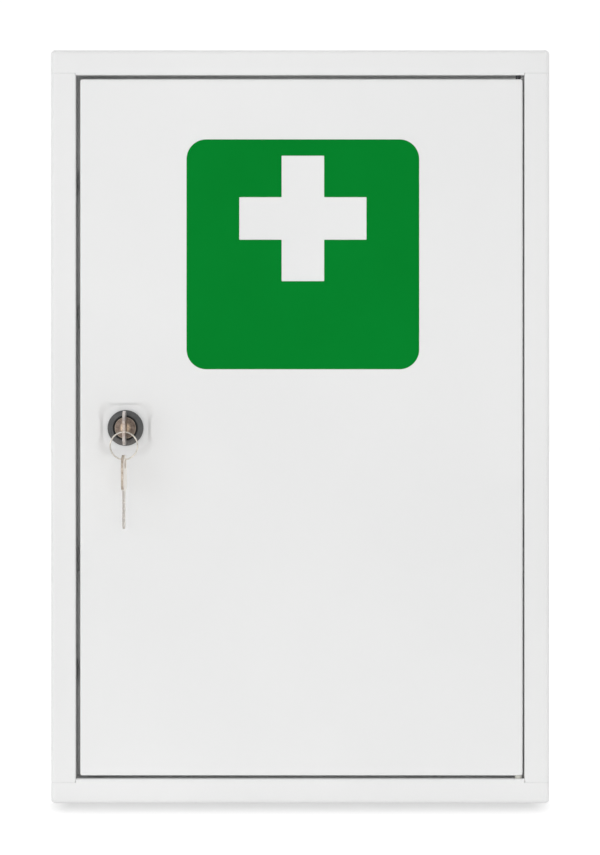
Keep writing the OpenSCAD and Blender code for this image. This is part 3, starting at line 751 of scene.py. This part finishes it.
def shelf(z):
    sh = Shell()
    y0, y1 = YF + 27, -3.0
    path = [(y0 + 7, z - 13.5), (y0 + 0.5, z - 13.5), (y0 + 0.5, z - 0.5), (y1 - 0.5, z - 0.5), (y1 - 0.5, z - 10)]
    sh.sheet(YZX, path, [0, 1.0, 1.0, 1.0, 0], SHEET, -150.75, 150.75, seg=8)
    return sh


def bracket(sgn, z):
    sh = Shell()
    x1, top = XO - SHEET, z - SHEET
    ax = Axes((sgn, 0, 0), (0, 0, 1), (0, 1, 0))
    sh.sheet(ax, [(x1 - 0.5, top - 13), (x1 - 0.5, top - 0.5), (x1 - 12, top - 0.5)], [0, 1.0, 0], SHEET, YF + 40, -12, seg=8)
    return sh


for name, sgn in (("left_side_panel", -1), ("right_side_panel", 1)):
    side_panel(sgn).build(name + "_sheet", PAINT, "cabinet", [name], "white_paint")
cap(1, TOP_RAIL, TOP_H).build("top_panel_sheet", PAINT, "cabinet", ["top_panel"], "white_paint")
cap(-1, BOTTOM_RAIL, BOTTOM_H).build("bottom_panel_sheet", PAINT, "cabinet", ["bottom_panel"], "white_paint")
back_panel().build("back_panel_sheet", PAINT, "cabinet", ["back_panel"], "white_paint")
for name, z in (("upper", 75.0), ("lower", -75.0)):
    shelf(z).build(name + "_shelf_sheet", PAINT, "cabinet", [name + "_shelf"], "white_paint")
    for side, sgn in (("left", -1), ("right", 1)):
        node = f"{name}_{side}_shelf_bracket"
        bracket(sgn, z).build(node + "_angle", PAINT, "cabinet", [node], "white_paint")


def pivot_pin(z, way, length):
    """Turned pin with a crowned head. The head has a flat against the rail."""
    sh = Shell()
    ax = Axes((1, 0, 0), (0, 1, 0), (0, 0, way), (PX, PY, z))
    flat = -2.8 + SHEET + 0.26
    profile = [(0, 0), (3, 0), (3, 1.5), (1.5, 1.5), (1.5, length), (0, length)]

    def warp(u, v, w, a):
        return u, np.maximum(v, flat) if w[0] < 1.6 else v, w, bool(w[0] < 1.6)

    sh.lathe(ax, profile, [0, 0.35, 0.15, 0.1, 0.4, 0], False, 48, 4, warp)
    return sh


pivot_pin(ZT - TOP_RAIL + 2.5, -1, 9.8).build("upper_pivot_pin_turned", PIN_METAL_PAINTED_DARK, "cabinet", ["upper_pivot_pin"], "zinc")
pivot_pin(-ZT + BOTTOM_RAIL - 2.5, 1, 9.3).build("lower_pivot_pin_turned", PIN_METAL_PAINTED_DARK, "cabinet", ["lower_pivot_pin"], "zinc")

sh = Shell()
sh.lathe(Axes((1, 0, 0), (0, 1, 0), (0, 0, 1), (PX, PY, -214.9)), [(1.56, 0.01), (2.1, 0.01), (2.1, 1.89), (1.56, 1.89)], [0.1, 0.22, 0.22, 0.1], True, 40, 4)
sh.build("hinge_washer_moulded", NYLON, "cabinet", ["hinge_washer"], "nylon")

for name, z in (("upper", 150.0), ("lower", -150.0)):
    sh = Shell()
    ax = Axes((1, 0, 0), (0, 0, 1), (0, 1, 0), (-OX + 5.45, -121.9, z))
    stand = 4.2
    sh.lathe(ax, [(0, 0), (3.4, 0), (4, 0.6), (4, stand - 0.02), (1.95, stand - 0.02), (1.95, stand + 1.0), (2.7, stand + 1.02), (1.6, stand + 2.5), (0, stand + 2.5)],
             [0, 0.35, 0.3, 0.4, 0.15, 0.02, 0.2, 0.3, 0], False, 48, 4)
    sh.build(name + "_buffer_moulded", RUBBER, "cabinet", [name + "_door_buffer"], "black_rubber")


# ------------------------------------------------------------------ door

RECESS, FLANGE = 1.4, 3.8


def rect_loop(d, r0=1.35):
    """The door's outline moved in by d, anticlockwise, with its corners as round as they can be."""
    r = max(r0 - d, 0.05)
    p, n = [], []
    mids = ([-60.0, 60.0], [-120.0, -40.0, 40.0, 120.0], [60.0, -60.0], [120.0, 40.0, -40.0, -120.0])
    for (cx, cz, start), stops, k in zip(((DX0, DZ0, 180), (DX1, DZ0, 270), (DX1, DZ1, 0), (DX0, DZ1, 90)), mids, range(4)):
        sx, sz = (1 if cx == DX0 else -1), (1 if cz == DZ0 else -1)
        c = np.array([cx + sx * (d + r), cz + sz * (d + r)])
        for j in range(9):
            a = math.radians(start + 90 * j / 8)
            w = np.array([math.cos(a), math.sin(a)])
            p.append(c + r * w)
            n.append(w)
        w = np.array([(0, -1), (1, 0), (0, 1), (-1, 0)][k], float)
        for q in stops:
            p.append(np.array([q, cz + sz * d]) if k in (0, 2) else np.array([cx + sx * d, q]))
            n.append(w)
    return np.array(p), np.array(n)


def square_loop(s, r, k=8, side=8):
    """Rounded square about the lock's axis, anticlockwise."""
    p, n = [], []
    for q in range(4):
        start = 180 + 90 * q
        c = np.array([(-1, 1, 1, -1)[q], (-1, -1, 1, 1)[q]]) * (s - r)
        arc = []
        for j in range(k + 1):
            a = math.radians(start + 90 * j / k)
            w = np.array([math.cos(a), math.sin(a)])
            arc.append(c + r * w)
            n.append(w)
        p.extend(arc)
        nxt = np.array([(1, 1, -1, -1)[q], (-1, 1, 1, -1)[q]]) * (s - r) + r * np.array([(0, -1), (1, 0), (0, 1), (-1, 0)][q])
        for j in range(1, side):
            p.append(arc[-1] + (nxt - arc[-1]) * j / side)
            n.append(np.array([(0, -1), (1, 0), (0, 1), (-1, 0)][q], float))
    return np.array(p) + np.array([LX, LZ]), np.array(n)


def ramp_width(p, n):
    """How wide the pressing's slope is: short in the middle of the sides and along the top, and longer at the corners and the foot."""
    at = np.abs(p - np.array([LX, LZ])) / 14.4
    t = at.min(axis=1) / 0.858
    beside = np.clip((t - 0.30) / 0.62, 0, 1)
    above = np.clip((t - 0.62) / 0.38, 0, 1)
    beside, above = (x * x * (3 - 2 * x) for x in (beside, above))
    foot, head = np.clip(-n[:, 1], 0, 1) ** 2, np.clip(n[:, 1], 0, 1) ** 2
    grow = (1 - head) * beside + head * above
    return np.maximum(3.0 + 6.0 * grow, 3.0 + 6.6 * foot)


def lock_hole():
    """Round hole with two flats, for the lock's barrel."""
    a = math.acos(8.1 / 9.1)
    pts = []
    for lo, hi in ((a, math.pi - a), (math.pi + a, 2 * math.pi - a)):
        pts += [(9.1 * math.cos(lo + (hi - lo) * j / 20), 9.1 * math.sin(lo + (hi - lo) * j / 20)) for j in range(21)]
    p = np.array(pts)
    tan = np.roll(p, -1, 0) - np.roll(p, 1, 0)
    tan /= np.linalg.norm(tan, axis=1, keepdims=True)
    return p + np.array([LX, LZ]), np.column_stack([-tan[:, 1], tan[:, 0]])


def door_panel():
    """Folded pan with a hem, rounded front edges, and a square pressed in round the lock."""
    sh = Shell()
    t, edge, m = DOOR_T, 0.18, 3
    path = [(HEM, DOOR_BACK - t / 2), (t / 2, DOOR_BACK - t / 2), (t / 2, YF + t / 2), (2.2, YF + t / 2)]
    p, n = fillet(path, [0, DOOR_R - t / 2, DOOR_R - t / 2, 0], False, 8)
    tan = np.column_stack([-n[:, 1], n[:, 0]])
    rc = 1.15 * edge
    p[0] += tan[0] * rc
    sec, nor, wear = [], [], []
    for q, w in zip(p[::-1], n[::-1]):                 # outer face, from the front to the hem
        sec.append(q + w * t / 2); nor.append(w); wear.append(0)
    for side, angles in ((1, quarter(m)[1:]), (-1, quarter(m)[:-1])):
        c = p[0] + side * n[0] * (t / 2 - rc)
        for g in angles:
            d = side * n[0] * (math.cos(g) if side > 0 else math.sin(g)) - tan[0] * (math.sin(g) if side > 0 else math.cos(g))
            sec.append(c + d * rc); nor.append(d); wear.append(1)
    for q, w in zip(p, n):
        sec.append(q - w * t / 2); nor.append(-w); wear.append(0)
    rows, flats = [], []
    for (d, y), (nd, ny), w in zip(sec, nor, wear):
        q, out = rect_loop(d)
        rows.append(sh.row(XZY.p(q[:, 0], q[:, 1], y), XZY.n(-out[:, 0] * nd, -out[:, 1] * nd, ny), w))
        flats.append(q)
    for a, b in zip(rows, rows[1:]):
        sh.loft(a, b)
    hp, hn = lock_hole()
    sides = []
    for border, flat, y, face in ((rows[0], flats[0], YF, -1), (rows[-1], flats[-1], YF + t, 1)):
        ramp, steps = [], 14
        q, out = square_loop(14.4, 7.0)
        wide = ramp_width(q, out)
        for j in range(steps + 1):
            f = j / steps
            g = f ** 1.35
            drop = RECESS * (6 * g ** 5 - 15 * g ** 4 + 10 * g ** 3)
            at = q + out * (wide * (0.5 - f) + 0.5 + np.clip(wide - 3.0, 0, None) * 0.2)[:, None]
            flatpoint = XZY.n(0, 0, face).repeat(len(q), 0) if j in (0, steps) else None
            ramp.append((sh.row(XZY.p(at[:, 0], at[:, 1], y + drop), flatpoint), at))
        for a, b in zip(ramp, ramp[1:]):
            sh.loft(a[0], b[0])
        sh.fill([(border, flat), ramp[0]])
        sides.append((ramp[-1], y + RECESS, face))
    low, high = sh.band(XZY, hp, hn, sides[0][1], sides[1][1], 0.12, 0.12, 2)
    sh.fill([sides[0][0], low])
    sh.fill([sides[1][0], high])
    return sh


door_panel().build("door_panel_sheet", PAINT, "door", ["door_panel"], "white_paint")


def sign_label():
    sh = Shell()
    cx, cz, w, h = 1.7, 105.2, 142.0, 140.3
    p, n = fillet([(cx - w / 2, cz - h / 2), (cx + w / 2, cz - h / 2), (cx + w / 2, cz + h / 2), (cx - w / 2, cz + h / 2)], [12] * 4, True, 20)
    a, b, k, up = 77.7 / 2, 76.6 / 2, 13.0, cz + 21.9
    pts = [(a, -k), (a, k), (k, k), (k, b), (-k, b), (-k, k), (-a, k), (-a, -k), (-k, -k), (-k, -b), (k, -b), (k, -k)]
    q, o = fillet([(cx + x, up + z) for x, z in pts], [0.35] * 12, True, 4)
    sh.plate(XZY, [(p, n), (q, -o)], YF + 0.0, YF - 0.2, 0.02, 0.08, 3)
    return sh


sign_label().build("sign_label_vinyl", VINYL, "door", ["sign_label"], "green_vinyl")


def pivot_plate(z):
    sh = Shell()
    x0, x1, y0 = PX - 14, DX1 - DOOR_T - 0.02, YF + DOOR_T + 0.02
    p, n = fillet([(x0, y0), (x1, y0), (x1, y0 + 14.98), (x0, y0 + 14.98)], [1.2, 0.5, 0.5, 2.5], True, 6)
    sh.plate(XYZ, [(p, n), hole((PX, PY), 1.55, 36)], z, z + 2.0, 0.07)
    return sh


pivot_plate(DZ1 - DOOR_T - 2.0).build("upper_pivot_plate_pressed", ZINC, "door", ["upper_pivot_plate"], "zinc")
pivot_plate(DZ0 + DOOR_T).build("lower_pivot_plate_pressed", ZINC, "door", ["lower_pivot_plate"], "zinc")


# ------------------------------------------------------------------ lock

def lock_housing():
    """Bevelled bezel and threaded barrel with two flats, and the stop ring at its rear."""
    sh = Shell()
    pitch, start, end = 1.0, FLANGE + 0.6, 24.7
    rows = [(6.05, 25.0), (6.05, 1.7), (7.3, 1.7), (7.3, 0.0), (7.66, 0.0), (7.78, 0.0), (9.5, 0.0), (10.65, 1.15), (10.9, 1.5), (10.9, FLANGE), (9.0, FLANGE)]
    radii = [0.25, 0.1, 0.1, 0.28, 0.0, 0.0, 0.45, 0.12, 0.3, 0.15, 0.1]
    zs = np.arange(start, end, pitch / 6)
    rows += [(8.99, float(z)) for z in zs] + [(9.0, 25.0)]
    radii += [0.0] * len(zs) + [0.4]

    def warp(u, v, w, a):
        if w[0] < FLANGE + 0.1:
            return u, v, w, False
        r = np.hypot(u, v)
        if start <= w[0] <= end:
            phase = (w / pitch - a / (2 * math.pi)) % 1
            fade = np.clip(np.minimum(w - start, end - w) / 0.8, 0, 1)
            dip = 0.42 * np.abs(2 * phase - 1) ** 0.9 * fade
            u, v = u * (r - dip) / r, v * (r - dip) / r
        return np.clip(u, -8.0, 8.0), v, w, True

    # rows inside radius 7.7 mm, the counterbore round the plug, get painted shade
    sh.lathe(LOCK, rows, radii, True, 96, 5, warp, lambda r, h: r < 7.7)
    gap0, gap1 = math.radians(15.6), math.radians(360 - 105.5)
    outer = [(8.85 * math.cos(a), 8.85 * math.sin(a)) for a in np.linspace(gap0, gap1, 60)]
    inner = [(6.85 * math.cos(a), 6.85 * math.sin(a)) for a in np.linspace(gap1, gap0, 60)]
    pts = np.array(outer + inner)
    pts[:, 0] = np.clip(pts[:, 0], -8.0, 8.0)
    tan = np.roll(pts, -1, 0) - np.roll(pts, 1, 0)
    tan /= np.linalg.norm(tan, axis=1, keepdims=True)
    sh.plate(LOCK, [(pts, np.column_stack([tan[:, 1], -tan[:, 0]]))], 24.9, 26.0, 0.05, 0.12, 2)
    return sh


lock_housing().build("lock_housing_cast", BEZEL, "door", ["lock_housing"], "dark_bezel")


def hexagon(sh, ax, across, h0, h1, bore=None):
    """Nut or screw head: a hexagon with its corners chamfered at h1, and at h0 too if it has a bore."""
    corner = across / 2 / math.cos(math.pi / 6)
    pts = [(corner * math.cos(math.radians(60 * k)), corner * math.sin(math.radians(60 * k))) for k in range(6)]
    p, n = fillet(pts, [0.5] * 6, True, 3)
    p, n = subdivided(p, n, corner / 9)
    far = np.hypot(p[:, 0], p[:, 1])
    flat = across / 2 * 0.96
    scale = (flat / far)[:, None]
    drop = np.maximum(far - flat, 0) * math.tan(math.radians(30)) + 0.02
    rows = []

    def ring(q, h, normals=None, wear=0.0):
        rows.append(sh.row(ax.p(q[:, 0], q[:, 1], h), normals, wear))
        return rows[-1]

    low = drop if bore else np.full(len(far), 0.15)
    if bore:
        unit_p = p / far[:, None]
        ring(unit_p * bore, h0 + 0.45)
        ring(unit_p * (bore + 0.45), h0, ax.n(np.zeros(len(p)), 0, -math.copysign(1, h1 - h0)))
        ring(p * scale, h0, ax.n(np.zeros(len(p)), 0, -math.copysign(1, h1 - h0)))
    else:
        ring(p * 0.2, h0)
        ring(p * (1 - 0.15 / far[:, None]), h0)
    ring(p, h0 + low, ax.n(n[:, 0], n[:, 1], 0), 1.0)
    ring(p, h1 - drop, ax.n(n[:, 0], n[:, 1], 0), 1.0)
    ring(p * scale, h1, ax.n(np.zeros(len(p)), 0, math.copysign(1, h1 - h0)))
    if bore:
        ring(unit_p * (bore + 0.45), h1, ax.n(np.zeros(len(p)), 0, math.copysign(1, h1 - h0)))
        ring(unit_p * bore, h1 - 0.45)
    else:
        ring(p * 0.62, h1, ax.n(np.zeros(len(p)), 0, math.copysign(1, h1 - h0)))
        ring(p * 0.56, h1 - 0.18)
        ring(p * 0.15, h1 - 0.25)
    for a, b in zip(rows, rows[1:] + ([rows[0]] if bore else [])):
        sh.loft(a, b)
    if not bore:
        sh.f.append(tuple(rows[0]))
        sh.f.append(tuple(rows[-1]))


sh = Shell()
hexagon(sh, LOCK, 23.0, FLANGE + 1.6, FLANGE + 5.6, 8.75)
sh.build("lock_nut_turned", ZINC, "door", ["lock_nut"], "zinc")

sh = Shell()
teeth = []
for k in range(16):
    for da, r in ((-7.0, 10.5), (-6.6, 11.5), (-6.0, 11.6), (6.0, 11.6), (6.6, 11.5), (7.0, 10.5)):
        a = math.radians(22.5 * k + 11.25 + da)
        teeth.append((r * math.cos(a), r * math.sin(a)))
tp = np.array(teeth)
tt = np.roll(tp, -1, 0) - np.roll(tp, 1, 0)
tt /= np.linalg.norm(tt, axis=1, keepdims=True)
sh.plate(LOCK, [(tp, np.column_stack([tt[:, 1], -tt[:, 0]])), hole((0, 0), 9.1, 64)], FLANGE + 0.82, FLANGE + 1.58, 0.1, 0.1, 2)
sh.build("lock_washer_toothed", ZINC, "door", ["lock_washer"], "zinc")

softened("lock_plug", "lock_plug_turned", PLUG, "lock_barrel", lambda q: 0.22 if q.y < -141.2 else 0.08)
softened("stop_washer", "stop_washer_pressed", ZINC, "lock_barrel", lambda q: 0.12)
softened("lock_cam", "lock_cam_pressed", CAM_ZINC, "lock_barrel", lambda q: 0.28)
softened("cam_washer", "cam_washer_pressed", ZINC, "lock_barrel", lambda q: 0.14)
sh = Shell()
hexagon(sh, LOCK, 7.0, 29.02, 31.8)
sh.lathe(LOCK, [(0, 24.3), (1.95, 24.3), (1.95, 29.1), (0, 29.1)], [0, 0.4, 0.1, 0], False, 32, 3)
sh.build("cam_screw_turned", ZINC, "lock_barrel", ["cam_screw"], "zinc")

for node, material in (("wafers", BRASS), ("wafer_springs", SPRING)):
    NODES[node].data.materials.clear()
    NODES[node].data.materials.append(material)


# ------------------------------------------------------------------ keys

softened("key", "key_in_the_lock", KEY, "key_in_lock", lambda q: 0.30 if q.y < -143.9 else 0.1, seg=3, fade=0.06)
softened("spare_key", "spare_key_hanging", SPARE, "hanging_key", lambda q: 0.26 if q.z > -37.8 else 0.1, seg=3, fade=0.06)


def split_ring():
    """Two turns of rounded wire side by side, with the step between them and both cut ends."""
    sh = Shell()
    centre = (LX, -159.9, LZ - 10.8049)
    ax = Axes((1, 0, 0), (0, 0, 1), (0, 1, 0), centre)
    half, radius, step = 0.44, 8.3, math.radians(38)
    start = math.radians(-150)
    total = 4 * math.pi - step
    n = 230
    sec = []
    for k in range(14):
        a = 2 * math.pi * k / 14
        c, s = math.cos(a), math.sin(a)
        q = (abs(c) ** 2.6 + abs(s) ** 2.6) ** (-1 / 2.6)
        sec.append((c * q, s * q))
    sec = np.array(sec)
    rows = []
    for i in range(n + 1):
        f = total * i / n
        g = np.clip((f - (2 * math.pi - step)) / step, 0, 1)
        side = -0.45 + 0.9 * (3 * g * g - 2 * g ** 3)
        end = min(i, n - i) / n * total * radius
        size = half * (1 if end > 0.3 else math.sqrt(max(1 - ((0.3 - end) / 0.3) ** 2 * 0.35, 0.1)))
        a = start + f
        r = radius + sec[:, 0] * size
        rows.append(sh.row(ax.p(r * math.cos(a), r * math.sin(a), side + sec[:, 1] * size), None, 1.0 if end < 0.6 else 0.0))
    for a, b in zip(rows, rows[1:]):
        sh.loft(a, b)
    for row in (rows[0], rows[-1]):
        pts = np.array([sh.p[i] for i in row])
        tip = sh.row([pts.mean(0)])[0]
        sh.fan(tip, row)
    return sh


split_ring().build("split_ring_wound", RING, "split_ring", ["key_ring"], "ring_steel")


# ------------------------------------------------------------------ floor, light and camera

def floor_material():
    """Pale and matt, with painted light in its emission: a glow that lights the cabinet, brightest in a pool in front
    of it, painted shade along the cabinet's foot, and a painted contact shadow round the foot where the camera sees it.
    """
    m = Material("pale_floor")
    m.set(Specular_IOR_Level=0.1)
    m.color(m.mix(m.range(m.noise(3, 3), 0.3, 0.7, 0, 1), (0.34, 0.34, 0.34), (0.36, 0.36, 0.36)))
    m.rough(m.range(m.noise(30, 3), 0.3, 0.7, 0.6, 0.75))
    m.set(Emission_Color=(1, 1, 1, 1))
    split = m.node("ShaderNodeSeparateXYZ")
    m.link(m.place, split.inputs["Vector"])
    dx = m.math("MULTIPLY", m.math("MAXIMUM", m.math("SUBTRACT", m.math("ABSOLUTE", split.outputs["X"], 0), 0.138), 0), 4)
    dy = m.math("MAXIMUM", m.math("SUBTRACT", m.math("ABSOLUTE", m.math("ADD", split.outputs["Y"], 0.07), 0), 0.07), 0)
    away = m.math("SQRT", m.math("ADD", m.math("MULTIPLY", dx, dx), m.math("MULTIPLY", dy, dy)), 0)
    beyond = m.math("MAXIMUM", m.math("SUBTRACT", m.math("ABSOLUTE", split.outputs["X"], 0), 0.150), dy)

    def ramp(near, far, low, high, away=away):
        made = m.node("ShaderNodeMapRange", interpolation_type="SMOOTHSTEP")
        for key, v in (("From Min", near), ("From Max", far), ("To Min", low), ("To Max", high)):
            made.inputs[key].default_value = v
        m.link(away, made.inputs["Value"])
        return made.outputs["Result"]

    # camera rays see the painted contact shadow; other rays get the painted glow, with a pool of light in front and
    # painted shade at the foot
    painted_glow = m.node("ShaderNodeMix", data_type="FLOAT")
    m.link(m.node("ShaderNodeLightPath").outputs["Is Camera Ray"], painted_glow.inputs["Factor"])
    foot = m.math("MULTIPLY", ramp(0.0, 0.008, FLOOR_FOOT_SHADE, 1.0, beyond), ramp(0.0, 0.09, 1.2, 1.0, beyond))
    m.link(m.math("MULTIPLY", foot, ramp(0.15, 1.6, FLOOR_PAINTED_GLOW, 0.82 * FLOOR_PAINTED_GLOW)), painted_glow.inputs[2])
    m.link(ramp(0.0, 0.105, FLOOR_PAINTED_SHADOW, FLOOR_SEEN), painted_glow.inputs[3])
    m.link(painted_glow.outputs[0], m.bsdf.inputs["Emission Strength"])
    return m.mat


# painted glow, painted shade at the foot, far floor brightness seen by the camera, and the painted contact shadow next
# to the cabinet
FLOOR_PAINTED_GLOW, FLOOR_FOOT_SHADE, FLOOR_SEEN, FLOOR_PAINTED_SHADOW = 0.60, 0.72, 0.90, 0.40
mesh = bpy.data.meshes.new("floor")
mesh.from_pydata([(-30, -30, -0.2301), (30, -30, -0.2301), (30, 30, -0.2301), (-30, 30, -0.2301)], [], [(0, 1, 2, 3)])
mesh.materials.append(floor_material())
floor = bpy.data.objects.new("floor", mesh)
bpy.context.scene.collection.objects.link(floor)

scene = bpy.context.scene
AMBIENT, SHINE = (0.06, 0.74, 1.0), (0.46, 0.80, 1.0)      # in front, at the sides, behind
world = bpy.data.worlds.new("studio")
scene.world = world
world.use_nodes = True
tree = world.node_tree
tree.nodes.clear()
out = tree.nodes.new("ShaderNodeOutputWorld")
mix = tree.nodes.new("ShaderNodeMixShader")
path = tree.nodes.new("ShaderNodeLightPath")
seen = tree.nodes.new("ShaderNodeBackground")
lit = tree.nodes.new("ShaderNodeBackground")
seen.inputs["Color"].default_value = (1, 1, 1, 1)
seen.inputs["Strength"].default_value = 1.02
coord = tree.nodes.new("ShaderNodeTexCoord")
split = tree.nodes.new("ShaderNodeSeparateXYZ")
lit.inputs["Color"].default_value = (1, 1, 1, 1)
tree.links.new(coord.outputs["Generated"], split.inputs["Vector"])


def along_y(*stops):
    """Strength by direction, from the camera's side at -1 to behind the cabinet at 1."""
    total = None
    for (y0, v0), (y1, v1) in zip(stops, stops[1:]):
        step = tree.nodes.new("ShaderNodeMapRange")
        for key, v in (("From Min", y0), ("From Max", y1), ("To Min", 0.0 if total else v0), ("To Max", v1 - v0 if total else v1)):
            step.inputs[key].default_value = v
        tree.links.new(split.outputs["Y"], step.inputs["Value"])
        if total is None:
            total = step.outputs["Result"]
        else:
            add = tree.nodes.new("ShaderNodeMath")
            add.operation = "ADD"
            tree.links.new(total, add.inputs[0])
            tree.links.new(step.outputs["Result"], add.inputs[1])
            total = add.outputs[0]
    return total


soft = along_y((-1.0, AMBIENT[0]), (-0.25, AMBIENT[1]), (0.25, AMBIENT[2]))
shine = along_y((-1.0, SHINE[0]), (-0.25, SHINE[1]), (0.25, SHINE[2]))
choose = tree.nodes.new("ShaderNodeMix")
choose.data_type = "FLOAT"
tree.links.new(path.outputs["Is Glossy Ray"], choose.inputs["Factor"])
tree.links.new(soft, choose.inputs[2])
tree.links.new(shine, choose.inputs[3])
tree.links.new(choose.outputs[0], lit.inputs["Strength"])
tree.links.new(path.outputs["Is Camera Ray"], mix.inputs["Fac"])
tree.links.new(lit.outputs["Background"], mix.inputs[1])
tree.links.new(seen.outputs["Background"], mix.inputs[2])
tree.links.new(mix.outputs["Shader"], out.inputs["Surface"])


INSIDE = 0.04


def softbox(name, at, target, size, power):
    data = bpy.data.lights.new(name, "AREA")
    data.shape = "RECTANGLE"
    data.size, data.size_y = size
    data.energy = power
    light = bpy.data.objects.new(name, data)
    scene.collection.objects.link(light)
    light.location = at
    light.rotation_euler = (Vector(target) - Vector(at)).to_track_quat("-Z", "Y").to_euler()
    return light


def inside_glow(name, at, size, power):
    """The little light that bounces about in the closed box. It faces the back panel and isn't seen itself."""
    light = softbox(name, at, (at[0], 0.0, at[2]), size, power)
    light.visible_camera = light.visible_glossy = False


for name, z in (("upper_inside_glow", 0.145), ("middle_inside_glow", -0.005), ("lower_inside_glow", -0.150)):
    inside_glow(name, (0.0, -0.10, z), (0.20, 0.08), INSIDE)

slit = softbox("right_gap_glow", (0.1290, -0.1135, 0), (0.1362, -0.1240, 0), (0.008, 0.41), 0.024)
slit.visible_camera = slit.visible_glossy = False

softbox("left_softbox", (-1.45, -2.35, 0.15), (0, -0.14, 0), (2.6, 1.4), 19)
softbox("right_softbox", (2.75, -4.4, 2.1), (0, -0.14, 0), (1.0, 1.3), 13)
front = softbox("front_softbox", (0.3, -4.2, 0.35), (0, -0.14, 0), (2.6, 2.0), 43.5)
front.visible_glossy = False                # as a polariser keeps it out of the metal

camera = bpy.data.objects.new("camera", bpy.data.cameras.new("camera"))
scene.collection.objects.link(camera)
camera.data.sensor_width = 36.0
camera.data.lens = 148.28
camera.location = (-0.00006, -2.29, -0.000525)
camera.rotation_euler = (math.pi / 2, 0, 0)
camera.data.clip_start, camera.data.clip_end = 0.05, 100
scene.camera = camera

scene.view_settings.view_transform = "Standard"
scene.view_settings.look = "None"
scene.view_settings.exposure = 0.0
scene.view_settings.gamma = 1.0
